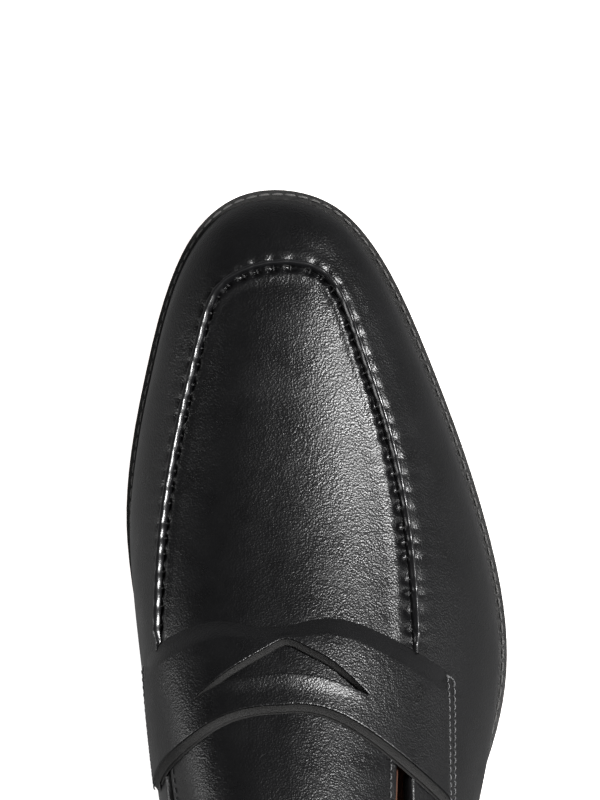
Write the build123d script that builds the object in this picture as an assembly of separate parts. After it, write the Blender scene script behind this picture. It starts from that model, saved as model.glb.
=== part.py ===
from build123d import *
import os
from math import comb
import numpy as np

# Penny loafer, right shoe.  Toe towards +Y, outer side of the foot +X, up +Z.
# Millimetres.  The tread rests on z = 0 and the sole is centred on the origin.

# ---------------------------------------------------------------- driving sizes
HEEL_HEIGHT = 20.0          # floor to the underside of the outsole at the heel
TOE_SPRING = 9.0            # rise of the outsole at the tip of the toe
OUTSOLE = 5.0               # leather outsole
WELT = 2.7                  # welt between outsole and upper
UPPER = 1.4                 # calf of the upper
LINING = 1.0                # lining leather
STIFFENER = 0.9             # toe puff and heel counter
GLUE = 0.1                  # glue line between two layers
BOARD = 2.6                 # insole board
SOCK = 1.0                  # sock liner
MARGIN = 7.0                # lasting margin turned in under the insole board
TURN = 2.0                  # height at which the upper starts to turn under
THREAD = 0.22               # radius of the sewing thread
TOP_PIECE = 6.0             # rubber top piece of the heel
LIFTS = 3                   # leather lifts above it
BREAST_Y = -88.0            # front face of the heel
FLAT_FROM, FLAT_TO = 25.0, 62.0   # flat of the tread
TOE_Y, HEEL_Y = 150.6, -150.2     # ends of the upper seen from above

FEATHER = OUTSOLE + WELT    # upper's lower edge above the outsole's underside
LINING_OUT = UPPER + STIFFENER + 2 * GLUE
LINING_IN = LINING_OUT + LINING
BOARD_TOP = UPPER + 2 * GLUE + BOARD

# The upper from above: widest line of the leather, heel, inner side, toe, outer side.
UPPER_PLAN = [
    (0, HEEL_Y), (-18.5, -144.2), (-31, -128), (-35.4, -104), (-36.2, -80),
    (-38.5, -55), (-42.2, -30), (-47.2, 3.6), (-51.4, 37.5), (-52.7, 58),
    (-50.9, 80), (-46.1, 105.3), (-38.4, 130.7), (-25.6, 147), (-12.5, TOE_Y),
    (3, 147), (17.8, 130.7), (29.6, 105.3), (39.2, 79.9), (46.9, 54.5),
    (51.2, 33), (51.9, 15), (49.3, -4.8), (45, -24), (40.3, -50),
    (37.2, -78), (36.2, -104), (31.5, -128), (18.8, -144.2),
]
TOE_CORNER = 14             # index of the toe tip in that list


def curve(knots, values, closed=False):
    """Smooth curve through a few values, as a function of a running number."""
    t = np.asarray(knots, float)
    v = np.asarray(values, float).reshape(len(t), -1)
    if closed:
        turn = t[-1] - t[0]
        t = np.concatenate([t[:-1] - turn, t[:-1], t + turn])
        v = np.concatenate([v[:-1], v[:-1], v])
    gaps = np.diff(t)
    system = np.eye(len(t))
    right = np.zeros_like(v)
    for i in range(1, len(t) - 1):
        system[i, i - 1:i + 2] = gaps[i - 1], 2 * (gaps[i - 1] + gaps[i]), gaps[i]
        right[i] = 6 * ((v[i + 1] - v[i]) / gaps[i] - (v[i] - v[i - 1]) / gaps[i - 1])
    bend = np.linalg.solve(system, right)

    def at(x):
        x = np.clip(np.asarray(x, float), t[0], t[-1])
        i = np.clip(np.searchsorted(t, x, side="right") - 1, 0, len(t) - 2)
        after = (t[i + 1] - x)[..., None]
        before = (x - t[i])[..., None]
        gap = gaps[i][..., None]
        out = (bend[i] * after**3 + bend[i + 1] * before**3) / (6 * gap)
        out += (v[i] / gap - bend[i] * gap / 6) * after
        out += (v[i + 1] / gap - bend[i + 1] * gap / 6) * before
        return out[..., 0] if v.shape[1] == 1 else out

    return at


# ---------------------------------------------------------------- the last
# A point of the upper is found by q, the way round the plan outline from the
# back seam over the inner side, and k, 0 on the ridge of the foot and 1 at the
# feather edge where the upper meets the welt.
plan_points = np.array(UPPER_PLAN + UPPER_PLAN[:1], float)
plan_lengths = np.linalg.norm(np.diff(plan_points, axis=0), axis=1)
plan_q = np.concatenate([[0], np.cumsum(plan_lengths)])
ROUND = plan_q[-1]
TOE_Q = plan_q[TOE_CORNER]
outline = curve(plan_q, plan_points, closed=True)

TOE_FAN, TOE_CENTRE = 60.0, 104.0        # sections fan out round the toe
HEEL_FAN, HEEL_CENTRE = -80.0, -115.0    # and round the heel
ridge_x = curve([-115, -80, -40, 0, 60, 104], [0.5, -2, -6, -9, -10.2, -11])
ridge_z = curve([-151, -90, -60, -34, -24, 1, 31, 61, 104],
                [115, 114.5, 111.5, 103.5, 98.8, 85.5, 69.5, 55.5, 42])
sole_z = curve([-88, -74, -60, -30, 0, 25], [20, 19, 15.9, 7.8, 1.9, 0])
toe_z = curve([62, 90, 120, 152], [0, 1.0, 3.9, TOE_SPRING])
inner_power = curve([-150, -60, 0, 30, 60, 95, 150], [2.5, 2.8, 3.2, 3.2, 2.75, 2.4, 2.4])
outer_power = curve([-150, -60, 0, 60, 150], [2.5, 2.3, 1.85, 2.05, 2.4])

# How far the feather edge lies inside the widest line, and the sole edge too.
feather_inset = curve([0, 60, 110, 150, 190, 227, 336, 430, 500, 562, 617, ROUND],
                      [3.4, 3.6, 8.5, 7.5, 3.8, 2.2, 2.2, 2.0, 2.5, 7, 3.6, 3.4])
sole_inset = curve([0, 60, 110, 150, 190, 206, 227, 275, 336, 380, 430, 478, 500, 520,
                    562, 617, ROUND],
                   [1.2, 1.4, 5.5, 4.3, 0.9, -0.1, -0.9, -0.9, -0.8, -1.2, -1.45, -1.5,
                    -1.1, 0.6, 4.5, 1.4, 1.2])

# The rim of the walls: the apron seam in front, the topline of the mouth behind.
rim = curve([0, 30, 62, 100, 130, 152, 172, 194, 215, 237, 261, 289, 305, 318, 335, 350,
             364, 385, 416, 453, 485, 508, 528, 550, 585, 620, 650, ROUND],
            [0.585, 0.60, 0.665, 0.70, 0.69, 0.655, 0.60, 0.541, 0.492, 0.463, 0.441,
             0.419, 0.407, 0.357, 0.338, 0.36, 0.393, 0.387, 0.404, 0.42, 0.422, 0.428,
             0.442, 0.50, 0.62, 0.655, 0.60, 0.585])


def roof(y):
    """Height of the ridge line, running straight down beyond the toe centre."""
    y = np.asarray(y, float)
    return np.where(y > TOE_CENTRE, 42 - 0.27 * (y - TOE_CENTRE),
                    ridge_z(np.minimum(y, TOE_CENTRE)))


def sole_bottom(y):
    """Underside of the outsole: heel seat, waist, flat tread and toe spring."""
    y = np.asarray(y, float)
    rise = np.where(y < FLAT_FROM, sole_z(y), np.where(y > FLAT_TO, toe_z(y), 0))
    return np.where(y < BREAST_Y, HEEL_HEIGHT, rise)


def ridge_end(y):
    """Where on the ridge the section through an outline point at y ends."""
    toe_turn = (TOE_Y - TOE_FAN) / (TOE_CENTRE - TOE_FAN)
    heel_turn = (HEEL_FAN - HEEL_Y) / (HEEL_FAN - HEEL_CENTRE)
    toe_way = np.clip((y - TOE_FAN) / (TOE_Y - TOE_FAN), 0, 1)
    heel_way = np.clip((HEEL_FAN - y) / (HEEL_FAN - HEEL_Y), 0, 1)
    toe = TOE_CENTRE - (TOE_CENTRE - TOE_FAN) * (1 - toe_way) ** toe_turn
    heel = HEEL_CENTRE + (HEEL_FAN - HEEL_CENTRE) * (1 - heel_way) ** heel_turn
    return np.where(y > TOE_FAN, toe, np.where(y < HEEL_FAN, heel, y))


def section(q):
    """Outline point, ridge point, roundness and inward direction of a section."""
    q = np.mod(q, ROUND)
    edge = outline(q)
    end = ridge_end(edge[..., 1])
    ridge = np.stack([ridge_x(end), end], -1)
    power = np.where(q < TOE_Q, inner_power(edge[..., 1]), outer_power(edge[..., 1]))
    inward = ridge - edge
    inward = inward / np.linalg.norm(inward, axis=-1, keepdims=True)
    return q, edge, ridge, power, inward


def skin(q, k):
    """Outer face of the upper."""
    q, k = np.broadcast_arrays(np.asarray(q, float), np.asarray(k, float))
    q, edge, ridge, power, inward = section(q)
    angle = np.clip(1 - k, 0, 1) * np.pi / 2
    run = 1 - np.clip(np.cos(angle), 0, 1) ** (2 / power)
    climb = np.sin(angle) ** (2 / power)
    base = sole_bottom(edge[..., 1]) + FEATHER
    drop = roof(edge[..., 1]) - base
    plan = edge + (ridge - edge) * run[..., None]
    z = roof(plan[..., 1]) - drop * (1 - climb)
    tuck = feather_inset(q) * np.clip(1 - (z - base) / 16, 0, 1) ** 2
    plan = plan + inward * tuck[..., None]
    return np.concatenate([plan, z[..., None]], -1)


def axes(q, k):
    """Unit directions on the skin: along the outline, up to the ridge, outward."""
    q, k = np.broadcast_arrays(np.asarray(q, float), np.clip(k, 0.006, 0.994))
    along = skin(q + 0.3, k) - skin(q - 0.3, k)
    up = skin(q, k - 0.005) - skin(q, k + 0.005)
    out = np.cross(up, along)
    along = along / np.linalg.norm(along, axis=-1, keepdims=True)
    out = out / np.linalg.norm(out, axis=-1, keepdims=True)
    return along, np.cross(along, out), out


def on_skin(q, k, out=0.0, up=0.0):
    """Point off the skin, moved outward and up the wall."""
    _, rise, normal = axes(q, k)
    return (skin(q, k) + normal * np.asarray(out, float)[..., None]
            + rise * np.asarray(up, float)[..., None])


def k_at_height(q, height):
    """k of the wall at a height above the feather edge."""
    _, edge, _, power, _ = section(q)
    drop = roof(edge[..., 1]) - sole_bottom(edge[..., 1]) - FEATHER
    return 1 - np.arcsin((height / drop) ** (power / 2)) / (np.pi / 2)


SIDE_Q = np.linspace(0, ROUND, 2401)
SIDE_Y = outline(SIDE_Q)[:, 1]
inner_half = (SIDE_Q < TOE_Q - 5) & (SIDE_Q > 10)
outer_half = (SIDE_Q > TOE_Q + 5) & (SIDE_Q < ROUND - 10)


def q_across(k, y):
    """q of the section at y; k counts negative on the inner side."""
    inner = np.interp(y, SIDE_Y[inner_half], SIDE_Q[inner_half])
    outer = np.interp(y, SIDE_Y[outer_half][::-1], SIDE_Q[outer_half][::-1])
    return np.where(np.asarray(k) < 0, inner, outer)


def locate(x, y):
    """q and k of the skin point straight above or below a plan point."""
    x, y = np.asarray(x, float), np.asarray(y, float)
    low = np.full(x.shape, q_across(-1, -60.0))
    high = np.full(x.shape, q_across(1, -60.0))
    for _ in range(40):
        q = (low + high) / 2
        _, edge, ridge, _, _ = section(q)
        line = ridge - edge
        ahead = line[..., 0] * (y - edge[..., 1]) - line[..., 1] * (x - edge[..., 0]) > 0
        low, high = np.where(ahead, q, low), np.where(ahead, high, q)
    _, edge, _, _, inward = section(q)
    wanted = (x - edge[..., 0]) * inward[..., 0] + (y - edge[..., 1]) * inward[..., 1]
    near, far = np.zeros(x.shape), np.ones(x.shape)
    for _ in range(40):
        k = (near + far) / 2
        point = skin(q, k)[..., :2] - edge
        inside = (point * inward).sum(-1) > wanted
        near, far = np.where(inside, k, near), np.where(inside, far, k)
    return q, k


# ---------------------------------------------------------------- pieces
def grid_face(grid):
    rows = [[tuple(float(c) for c in point) for point in row] for row in grid]
    return Face.make_surface_from_array_of_points(rows, tol=0.05, min_deg=3, max_deg=3)


def crowded(count):
    """Fractions from 0 to 1 that crowd towards both ends."""
    return (1 - np.cos(np.pi * np.arange(count) / (count - 1))) / 2


def bezier_face(grid):
    """One polynomial patch through a grid of points taken at crowded fractions."""
    weights = []
    for count in grid.shape[:2]:
        t = crowded(count)[:, None]
        i = np.arange(count)[None, :]
        choose = np.array([comb(count - 1, j) for j in range(count)], float)[None, :]
        weights.append(np.linalg.inv(choose * t**i * (1 - t)**(count - 1 - i)))
    poles = np.einsum("ij,lk,jkd->ild", weights[0], weights[1], grid)
    return Face.make_bezier_surface([[Vector(*map(float, p)) for p in row] for row in poles])


FAR_POINT = Vector(0, 0, 1000)      # outside every piece


def panel(outer, inner, face_of=grid_face):
    """Closed solid between two matching grids of points."""
    top, bottom = face_of(outer), face_of(inner)
    faces = [top, bottom]
    for edge in top.edges():
        middle = edge.position_at(0.5)
        other = min(bottom.edges(), key=lambda e: (e.position_at(0.5) - middle).length)
        faces.append(Face.make_surface_from_curves(edge, other))
    solid = Solid(Shell(faces))
    if solid.is_inside(FAR_POINT):      # its faces look inward: build it the other way round
        return panel(inner, outer, face_of)
    return solid


def layer(q, k, near, far):
    """Leather between two depths under the skin; near is the outer one."""
    return panel(on_skin(q, k, -near), on_skin(q, k, -far))


def falling(rows):
    """Fractions down a wall, closer together where it stands upright."""
    return 1 - (1 - np.linspace(0, 1, rows))[None, :] ** 1.35


def sideways(columns):
    """Fractions across the foot, closer together where k bends on the ridge."""
    even = np.linspace(-1, 1, columns)[:, None]
    return np.sign(even) * np.abs(even) ** 1.5


def wall_grid(q_from, q_to, top, bottom, columns, rows=13, slant=0.0):
    """q and k grids of a wall from its top edge to a height above the feather."""
    share = np.linspace(0, 1, columns)[:, None]
    fall = falling(rows)
    q = q_from + (q_to - q_from) * share + slant * fall * (2 * share - 1)
    k_top = top(q)
    k = k_top + (k_at_height(q, bottom) - k_top) * fall
    return q, k


def wall_band(share, way, band, q_from, q_to, slant):
    """Outer points and outward directions of one band: wall, turn or lasting margin."""
    fall = 1 - (1 - way)**1.5 if band == "wall" else np.ones_like(way)
    q = q_from + (q_to - q_from) * share + slant * fall * (2 * share - 1)
    k_top = rim(q)
    k = k_top + (k_at_height(q, TURN) - k_top) * fall
    if band == "wall":
        return on_skin(q, k), axes(q, k)[2]
    _, edge, _, _, inward = section(q)
    lean = 2 * feather_inset(q) / 16 * (1 - TURN / 16)
    inward = np.concatenate([inward, np.zeros((*q.shape, 1))], -1)
    down = np.broadcast_to(np.array([0, 0, -1.0]), inward.shape)
    start = on_skin(q, k)
    corner = start + inward * (lean * TURN)[..., None] + down * TURN
    w = way[..., None]
    if band == "turn":
        finish = corner + inward * TURN
        point = start * (1 - w)**2 + corner * 2 * w * (1 - w) + finish * w**2
        normal = axes(q, k)[2] * (1 - w) + down * w
        normal = normal / np.linalg.norm(normal, axis=-1, keepdims=True)
        settle = w[..., 0]
    else:
        point = corner + inward * (TURN + MARGIN * w)
        normal = down
        settle = np.ones_like(q)
    rise = (sole_bottom(point[..., 1]) - sole_bottom(edge[..., 1])) * settle
    return point + np.stack([0 * rise, 0 * rise, rise], -1), normal


def upper_wall(q_from, q_to, slant, strips=9, columns=8):
    """Wall of the upper with its lasting margin turned in under the insole, in patches."""
    bands = [("wall", 9), ("turn", 5), ("margin", 3)]
    faces, ends = [], []
    for strip in range(strips):
        share = ((strip + crowded(columns)) / strips)[:, None]
        for band, rows in bands:
            way = crowded(rows)[None, :]
            outer, normal = wall_band(share + 0 * way, way + 0 * share, band, q_from, q_to, slant)
            outer = outer + np.array([0, 0, GLUE])
            inner = outer - UPPER * normal
            faces += [bezier_face(outer), bezier_face(inner)]
            if band == "wall":
                faces.append(bezier_face(np.stack([outer[:, 0], inner[:, 0]], 1)))
            if band == "margin":
                faces.append(bezier_face(np.stack([outer[:, -1], inner[:, -1]], 1)))
            if strip == 0:
                ends.append(bezier_face(np.stack([outer[0], inner[0]], 1)))
            if strip == strips - 1:
                ends.append(bezier_face(np.stack([outer[-1], inner[-1]], 1)))
    return Solid(Shell(faces + ends))


def rail(q, middle, half, base, height, top=None, across_edge=False):
    """Rounded strip along the rim: lying on the skin, or over the cut edges."""
    angle = np.linspace(-np.pi / 2, np.pi / 2, 11)[None, :]
    q = q[:, None] + 0 * angle
    side = middle + half * np.sin(angle) + 0 * q
    crown = base + 0.3 + (height - 0.3) * np.cos(angle) + 0 * q
    flat = base + 0 * q
    k = rim(np.mod(q, ROUND))
    if across_edge:
        return panel(on_skin(q, k, side, crown), on_skin(q, k, side, flat))
    return panel(on_skin(q, k, crown, side), on_skin(q, k, flat, side))


def thread(start, end, radius=THREAD):
    """One straight visible length of thread or nail."""
    start, end = Vector(*start), Vector(*end)
    return Solid.make_cylinder(radius, (end - start).length, Plane(start, z_dir=end - start))


def rim_k(gap):
    return lambda q: rim(np.mod(q, ROUND)) + gap


# Upper: the side wall of the forepart is one piece round the toe.
JOIN_INNER, JOIN_OUTER = 141.0, 536.0    # where the quarters take over, at the topline
BINDING_INNER, BINDING_OUTER = q_across(-1, -9.0), q_across(1, -9.0)   # topline's front ends
JOIN_SLANT = 12.0                        # and how much further back at the feather
SEAM_GAP = 0.3


def make_vamp_wall():
    return upper_wall(JOIN_INNER, JOIN_OUTER, JOIN_SLANT)


def make_quarter(inner):
    back = 0.6 if inner else ROUND - 0.6
    front = JOIN_INNER - SEAM_GAP if inner else JOIN_OUTER + SEAM_GAP
    q_from, q_to = (back, front) if inner else (front, back)
    share = np.linspace(0, 1, 34)[:, None]
    fall = falling(13)
    slide = -JOIN_SLANT * share if inner else JOIN_SLANT * (1 - share)
    q = q_from + (q_to - q_from) * share + slide * fall
    return quarter_panel(q, fall)


def quarter_panel(q, fall):
    k_top = rim_k(0)(q)
    k = k_top + (k_at_height(q, GLUE) - k_top) * fall
    return panel(on_skin(q, k), on_skin(q, k, -UPPER))


# Apron: the plug inside the seam, ending under the strap where the tongue hangs.
APRON_GAP = 0.006
TONGUE_SIDES = (-0.58, 0.373)
hang_y = curve([-0.60, -0.30, 0, 0.2, 0.44], [-5, 7, 12, 9, -4])
HANG_GAP = 3.0              # clear of the tongue's front edge over its travel
LINING_HANG_GAP = 5.0


def hang_line(k, gap):
    """Plan points of the line where the tongue hangs from the apron."""
    y = hang_y(k) + gap
    return skin(q_across(k, y), np.abs(k))[..., :2]


def apron_plan(inset, across=15, deep=17, gap=HANG_GAP):
    """Plan grid of the apron between seam, toe and hanging line."""
    u, v = crowded(across), crowded(deep)
    q_left = q_across(-1, hang_y(-0.6) + gap)
    q_right = q_across(1, hang_y(0.44) + gap)
    q_left = q_left + (309 - q_left) * v
    q_right = q_right + (360 - q_right) * v
    q_front = 309 + (360 - 309) * u
    left = skin(q_left, rim(q_left) - inset)[:, :2]
    right = skin(q_right, rim(q_right) - inset)[:, :2]
    front = skin(q_front, rim(q_front) - inset)[:, :2]
    k_ends = -(rim(q_left[0]) - inset), rim(q_right[0]) - inset
    share = 2 * u - 1
    back = hang_line(np.where(share < 0, -k_ends[0], k_ends[1]) * share, gap)
    left[0], right[0] = back[0], back[-1]
    u, v = u[:, None, None], v[None, :, None]
    plan = (1 - v) * back[:, None] + v * front[:, None]
    plan = plan + (1 - u) * left[None] + u * right[None]
    plan = plan - (1 - u) * (1 - v) * back[0] - u * (1 - v) * back[-1]
    plan = plan - (1 - u) * v * front[0] - u * v * front[-1]
    return plan


def make_apron(near, far, inset=APRON_GAP):
    plan = apron_plan(inset)
    q, k = locate(plan[..., 0], plan[..., 1])
    return panel(on_skin(q, k, -near), on_skin(q, k, -far), bezier_face)


def make_apron_lining():
    plan = apron_plan(0.04, 11, 13, LINING_HANG_GAP)
    q, k = locate(plan[..., 0], plan[..., 1])
    outer = on_skin(q, k, -LINING_OUT)
    return panel(outer, outer - np.array([0, 0, LINING]), bezier_face)


# Tongue: flap behind the strap.  share runs across, way from the strap backwards.
TONGUE_END = -36.0


def tongue_grid(trim=0.0):
    share = sideways(31)
    way = np.linspace(0, 1, 17)[None, :]
    side = np.where(share < 0, -TONGUE_SIDES[0], TONGUE_SIDES[1]) - trim
    signed = share * side
    y_end = TONGUE_END + 9 * np.abs(share)**4 + 40 * trim
    y = hang_y(signed) + (y_end - hang_y(signed)) * way
    return q_across(signed, y), np.abs(signed) + 0 * way


# Strap: lies over the apron, its two ends sewn to the walls.
strap_front = curve([-1, -0.77, -0.34, -0.175, 0, 0.17, 0.29, 0.52, 0.77, 1],
                    [20.2, 24.7, 31.2, 32.1, 30.6, 32.5, 32.9, 29.4, 23.2, 16.9])
strap_rear = curve([-1, -0.77, -0.565, -0.38, -0.12, 0.07, 0.244, 0.46, 0.70, 1],
                   [-15.5, -8.9, -4.1, 0.5, 6.4, 8.0, 6.6, 0.4, -9.4, -21])
strap_end_inner = curve([-20, 0, 17], [0.80, 0.765, 0.725])
strap_end_outer = curve([-21, -6, 17], [0.635, 0.60, 0.57])
STRAP = 1.4
BACKING = 1.0
STRAP_LOW = 0.15            # underside of the strap above the skin at its thin edges


def strap_at(share, way):
    """q and k of the strap: share -1 inner end to 1 outer end, way 0 front to 1 rear."""
    share, way = np.broadcast_arrays(share, way)
    y = strap_front(share) + (strap_rear(share) - strap_front(share)) * way
    end = np.where(share < 0, strap_end_inner(y), strap_end_outer(y))
    k = np.abs(share) * end
    return q_across(np.where(share < 0, -1, 1), y), k


def strap_lift(share, way):
    """Rise of the strap over its backing, none along the thin edges."""
    front = np.clip(way / 0.16, 0, 1)
    ends = np.clip((1 - np.abs(share)) / 0.10, 0, 1)
    reach = np.minimum(front, ends)
    return (BACKING + GLUE) * reach**2 * (3 - 2 * reach)


def make_strap():
    share = sideways(61)
    way = np.linspace(0, 1, 19)[None, :]
    q, k = strap_at(share, way)
    low = STRAP_LOW + strap_lift(share, way)
    thick = STRAP - 0.6 * np.clip(1 - way / 0.10, 0, 1)
    strap = panel(on_skin(q, k, low + thick), on_skin(q, k, low))
    return cut_slit(strap)


def make_backing():
    share = 0.9 * sideways(41)
    way = np.linspace(0.17, 0.985, 13)[None, :]
    q, k = strap_at(share, way)
    low = np.full(q.shape, STRAP_LOW)
    return cut_slit(panel(on_skin(q, k, low + BACKING), on_skin(q, k, low)))


def slit_prism():
    """Upright cutter with the plan shape of the slit: a chevron over a curved lip."""
    apex, tip_in, tip_out = (-9.0, 25.5), (-33.6, 10.9), (13.5, 12.2)
    left = Spline(tip_in, (-27, 15.9), (-20.1, 19.7), apex)
    right = Spline(apex, (-2.7, 23.3), (7.7, 17.1), tip_out)
    turn_out = Line(tip_out, (13.3, 11.7))
    lip = Spline((13.3, 11.7), (7.7, 14.1), (-2.7, 16.7), (-18, 16.5), (-27, 14.4),
                 (-33.4, 10.3))
    turn_in = Line((-33.4, 10.3), tip_in)
    outline_face = make_face([*left.edges(), *right.edges(), *turn_out.edges(),
                              *lip.edges(), *turn_in.edges()])
    return extrude(outline_face, amount=140, dir=(0, 0, 1))


def cut_slit(strap):
    return (strap - slit_prism()).solids().sort_by(SortBy.VOLUME)[-1]


# Sole: slabs cut from a plan outline and a side profile.
def plan_edge(inset, q=None):
    """Points of the plan outline moved inward by inset(q)."""
    q = np.linspace(0, ROUND, 49)[:-1] if q is None else q
    edge = outline(q)
    run = outline(np.mod(q + 0.5, ROUND)) - outline(np.mod(q - 0.5, ROUND))
    run /= np.linalg.norm(run, axis=-1, keepdims=True)
    inward = np.stack([run[:, 1], -run[:, 0]], -1)
    return edge + inward * inset(q)[:, None]


def plan_slab(inset):
    points = [tuple(map(float, p)) for p in plan_edge(inset)]
    return extrude(make_face(Spline(*points, periodic=True)), amount=70)


def side_line(rise):
    """Underside of the sole raised by rise, as seen from the side."""
    waist = [(y, float(sole_bottom(y)) + rise) for y in np.linspace(BREAST_Y, FLAT_FROM, 17)]
    toe = [(y, float(sole_bottom(y)) + rise) for y in np.linspace(FLAT_TO, 152, 11)]
    return [
        Line((-170, HEEL_HEIGHT + rise), waist[0]),
        Spline(*waist),
        Line(waist[-1], toe[0]),
        Spline(*toe),
        Line(toe[-1], (170, toe[-1][1] + 4.3)),
    ]


def side_slab(low, high):
    """Band of the sole between two heights above the outsole's underside."""
    bottom, top = side_line(low), side_line(high)
    close = [Line((-170, HEEL_HEIGHT + low), (-170, HEEL_HEIGHT + high)),
             Line(bottom[-1] @ 1, top[-1] @ 1)]
    edges = [edge for curve_part in bottom + top + close for edge in curve_part.edges()]
    face = make_face(edges)
    face = Plane((0, 0, 0), x_dir=(0, 1, 0), z_dir=(1, 0, 0)) * face
    return extrude(face, amount=90, both=True)


def sole_layer(inset, low, high):
    return biggest(plan_slab(inset) & side_slab(low, high))


def biggest(shape):
    return shape.solids().sort_by(SortBy.VOLUME)[-1]


def make_welt():
    ring = sole_layer(sole_inset, OUTSOLE, FEATHER)
    hole = plan_slab(lambda q: feather_inset(q) + TURN + MARGIN - 2)
    return biggest(ring - hole)


SHANK_FROM, SHANK_TO, SHANK_HALF, SHANK = -118.0, -8.0, 6.5, 1.6


def shank_slab(extra):
    strip = SlotOverall(SHANK_TO - SHANK_FROM + 2 * extra, 2 * (SHANK_HALF + extra), rotation=90)
    strip = Pos(-0.5, (SHANK_TO + SHANK_FROM) / 2, 0) * strip
    return extrude(strip, amount=70)


def make_shank():
    return biggest(shank_slab(0) & side_slab(OUTSOLE + 1.2, OUTSOLE + 1.2 + SHANK))


def make_cork():
    cork = sole_layer(lambda q: feather_inset(q) + TURN + MARGIN - 1.6, OUTSOLE, FEATHER)
    cork = biggest(cork - shank_slab(GLUE))
    return cork


def make_insole_pad():
    """Cork sheet that levels the hollow inside the turned-in leather."""
    return sole_layer(lambda q: feather_inset(q) + TURN + MARGIN + 0.8, FEATHER + GLUE,
                      FEATHER + GLUE + UPPER)


def heel_slab(low, high, inset=0.0):
    q_back = np.linspace(q_across(1, BREAST_Y) - ROUND, q_across(-1, BREAST_Y), 17)
    edge = plan_edge(lambda q: sole_inset(np.mod(q, ROUND)) + inset, q_back)
    points = [tuple(map(float, p)) for p in edge]
    back = Spline(*points)
    breast = ThreePointArc(points[-1], (0, BREAST_Y - 3.5), points[0])
    face = make_face([*back.edges(), *breast.edges()])
    return Pos(0, 0, low) * extrude(face, amount=high - low)


NAIL_R = 1.3
NAIL_SPOTS = [(-24, -103), (24, -103), (-25, -121), (25, -121), (-12, -139), (13, -139)]


def make_top_piece():
    piece = heel_slab(0, TOP_PIECE)
    for x, y in NAIL_SPOTS:
        piece -= Pos(x, y, TOP_PIECE / 2) * Cylinder(NAIL_R + 0.03, TOP_PIECE)
    return biggest(piece)


def make_top_piece_nails():
    return [Pos(x, y, TOP_PIECE / 2 + 0.1) * Cylinder(NAIL_R, TOP_PIECE - 0.2)
            for x, y in NAIL_SPOTS]


# Stitches: every visible length of thread is its own solid.
def row_of_threads(start, end, radius=THREAD):
    return [thread(a, b, radius) for a, b in zip(start, end)]


APRON_PITCH, STRAP_PITCH, WELT_PITCH, FINE_PITCH = 4.9, 2.07, 3.6, 2.6
BEAD_HALF, BEAD_HEIGHT = 1.05, 1.9


def spaced(points, pitch):
    """Fractions of a dense line of points that lie one pitch apart."""
    lengths = np.linalg.norm(np.diff(points, axis=0), axis=1)
    way = np.concatenate([[0], np.cumsum(lengths)])
    count = int(way[-1] / pitch)
    wanted = (np.arange(count) + 0.5) * way[-1] / count
    return np.interp(wanted, way, np.linspace(0, 1, len(points)))


def make_apron_stitches():
    first, last = 196.5, 484.0
    q = first + (last - first) * spaced(skin(np.linspace(first, last, 400),
                                             rim(np.linspace(first, last, 400))), APRON_PITCH)
    k = rim(q)
    solids = []
    for side in (-1, 1):
        near = on_skin(q, k, 0 * q + THREAD + 0.15, 0.15 + side * (BEAD_HALF + 0.35) + 0 * q)
        far = on_skin(q + 0.6, k, 0 * q + THREAD + 0.15, 0.15 + side * (BEAD_HALF + 1.3) + 0 * q)
        solids += row_of_threads(near, far)
    return solids


def make_strap_stitches(sign):
    way = np.linspace(0.06, 0.97, 200)
    solids = []
    for inset in (0.012, 0.062):
        share = sign * (1 - inset)
        q, k = strap_at(np.full(200, share), way)
        spots = spaced(skin(q, k), STRAP_PITCH)
        length = np.linalg.norm(np.diff(skin(q, k), axis=0), axis=1).sum()
        for half in (-0.36, 0.36):
            w = 0.06 + 0.91 * spots + half * STRAP_PITCH / length * 0.91
            q_end, k_end = strap_at(np.full(len(w), share), w)
            low = STRAP_LOW + strap_lift(np.full(len(w), share), w)
            point = on_skin(q_end, k_end, low + STRAP + THREAD + 0.12)
            if half < 0:
                start = point
        solids += row_of_threads(start, point)
    return solids


def make_tongue_stitches():
    way = np.linspace(0.34, 1.0, 200)
    solids = []
    for side in TONGUE_SIDES:
        signed = side * 0.93
        y_end = TONGUE_END + 9 * 0.93**4 + 2
        y = hang_y(signed) + (y_end - hang_y(signed)) * way
        line = skin(q_across(signed, y), np.full(200, abs(signed)))
        share = 0.34 + 0.66 * spaced(line, FINE_PITCH)
        half = 0.32 * FINE_PITCH / abs(y_end - hang_y(signed))
        ends = []
        for w in (share - half, share + half):
            y = hang_y(signed) + (y_end - hang_y(signed)) * w
            ends.append(on_skin(q_across(signed, y), np.full(len(w), abs(signed)),
                                np.full(len(w), THREAD + 0.04)))
        solids += row_of_threads(*ends)
    return solids


def make_welt_stitches():
    first, last = 118.0, 556.0
    dense = np.linspace(first, last, 400)
    q = first + (last - first) * spaced(plan_edge(lambda q: sole_inset(q) + 1.5, dense), WELT_PITCH)
    half = 0.33 * WELT_PITCH
    ends = []
    for shift in (-half, half):
        plan = plan_edge(lambda q: sole_inset(q) + 1.5, q + shift)
        z = sole_bottom(plan[:, 1]) + FEATHER + THREAD + 0.25
        ends.append(np.concatenate([plan, z[:, None]], -1))
    return row_of_threads(*ends)


def make_topline_stitches():
    first, last = JOIN_OUTER + 4 - ROUND, JOIN_INNER - 4
    dense = np.linspace(first, last, 400)
    line = skin(dense, rim(np.mod(dense, ROUND)))
    q = first + (last - first) * spaced(line, FINE_PITCH)
    q = q[np.abs(q) > 7]
    ends = []
    for shift in (-0.32, 0.32):
        q_end = q + shift * FINE_PITCH
        k = rim(np.mod(q_end, ROUND))
        ends.append(on_skin(q_end, k, 0 * q + THREAD + 0.04, 0 * q - 1.6))
    return row_of_threads(*ends)


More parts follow.
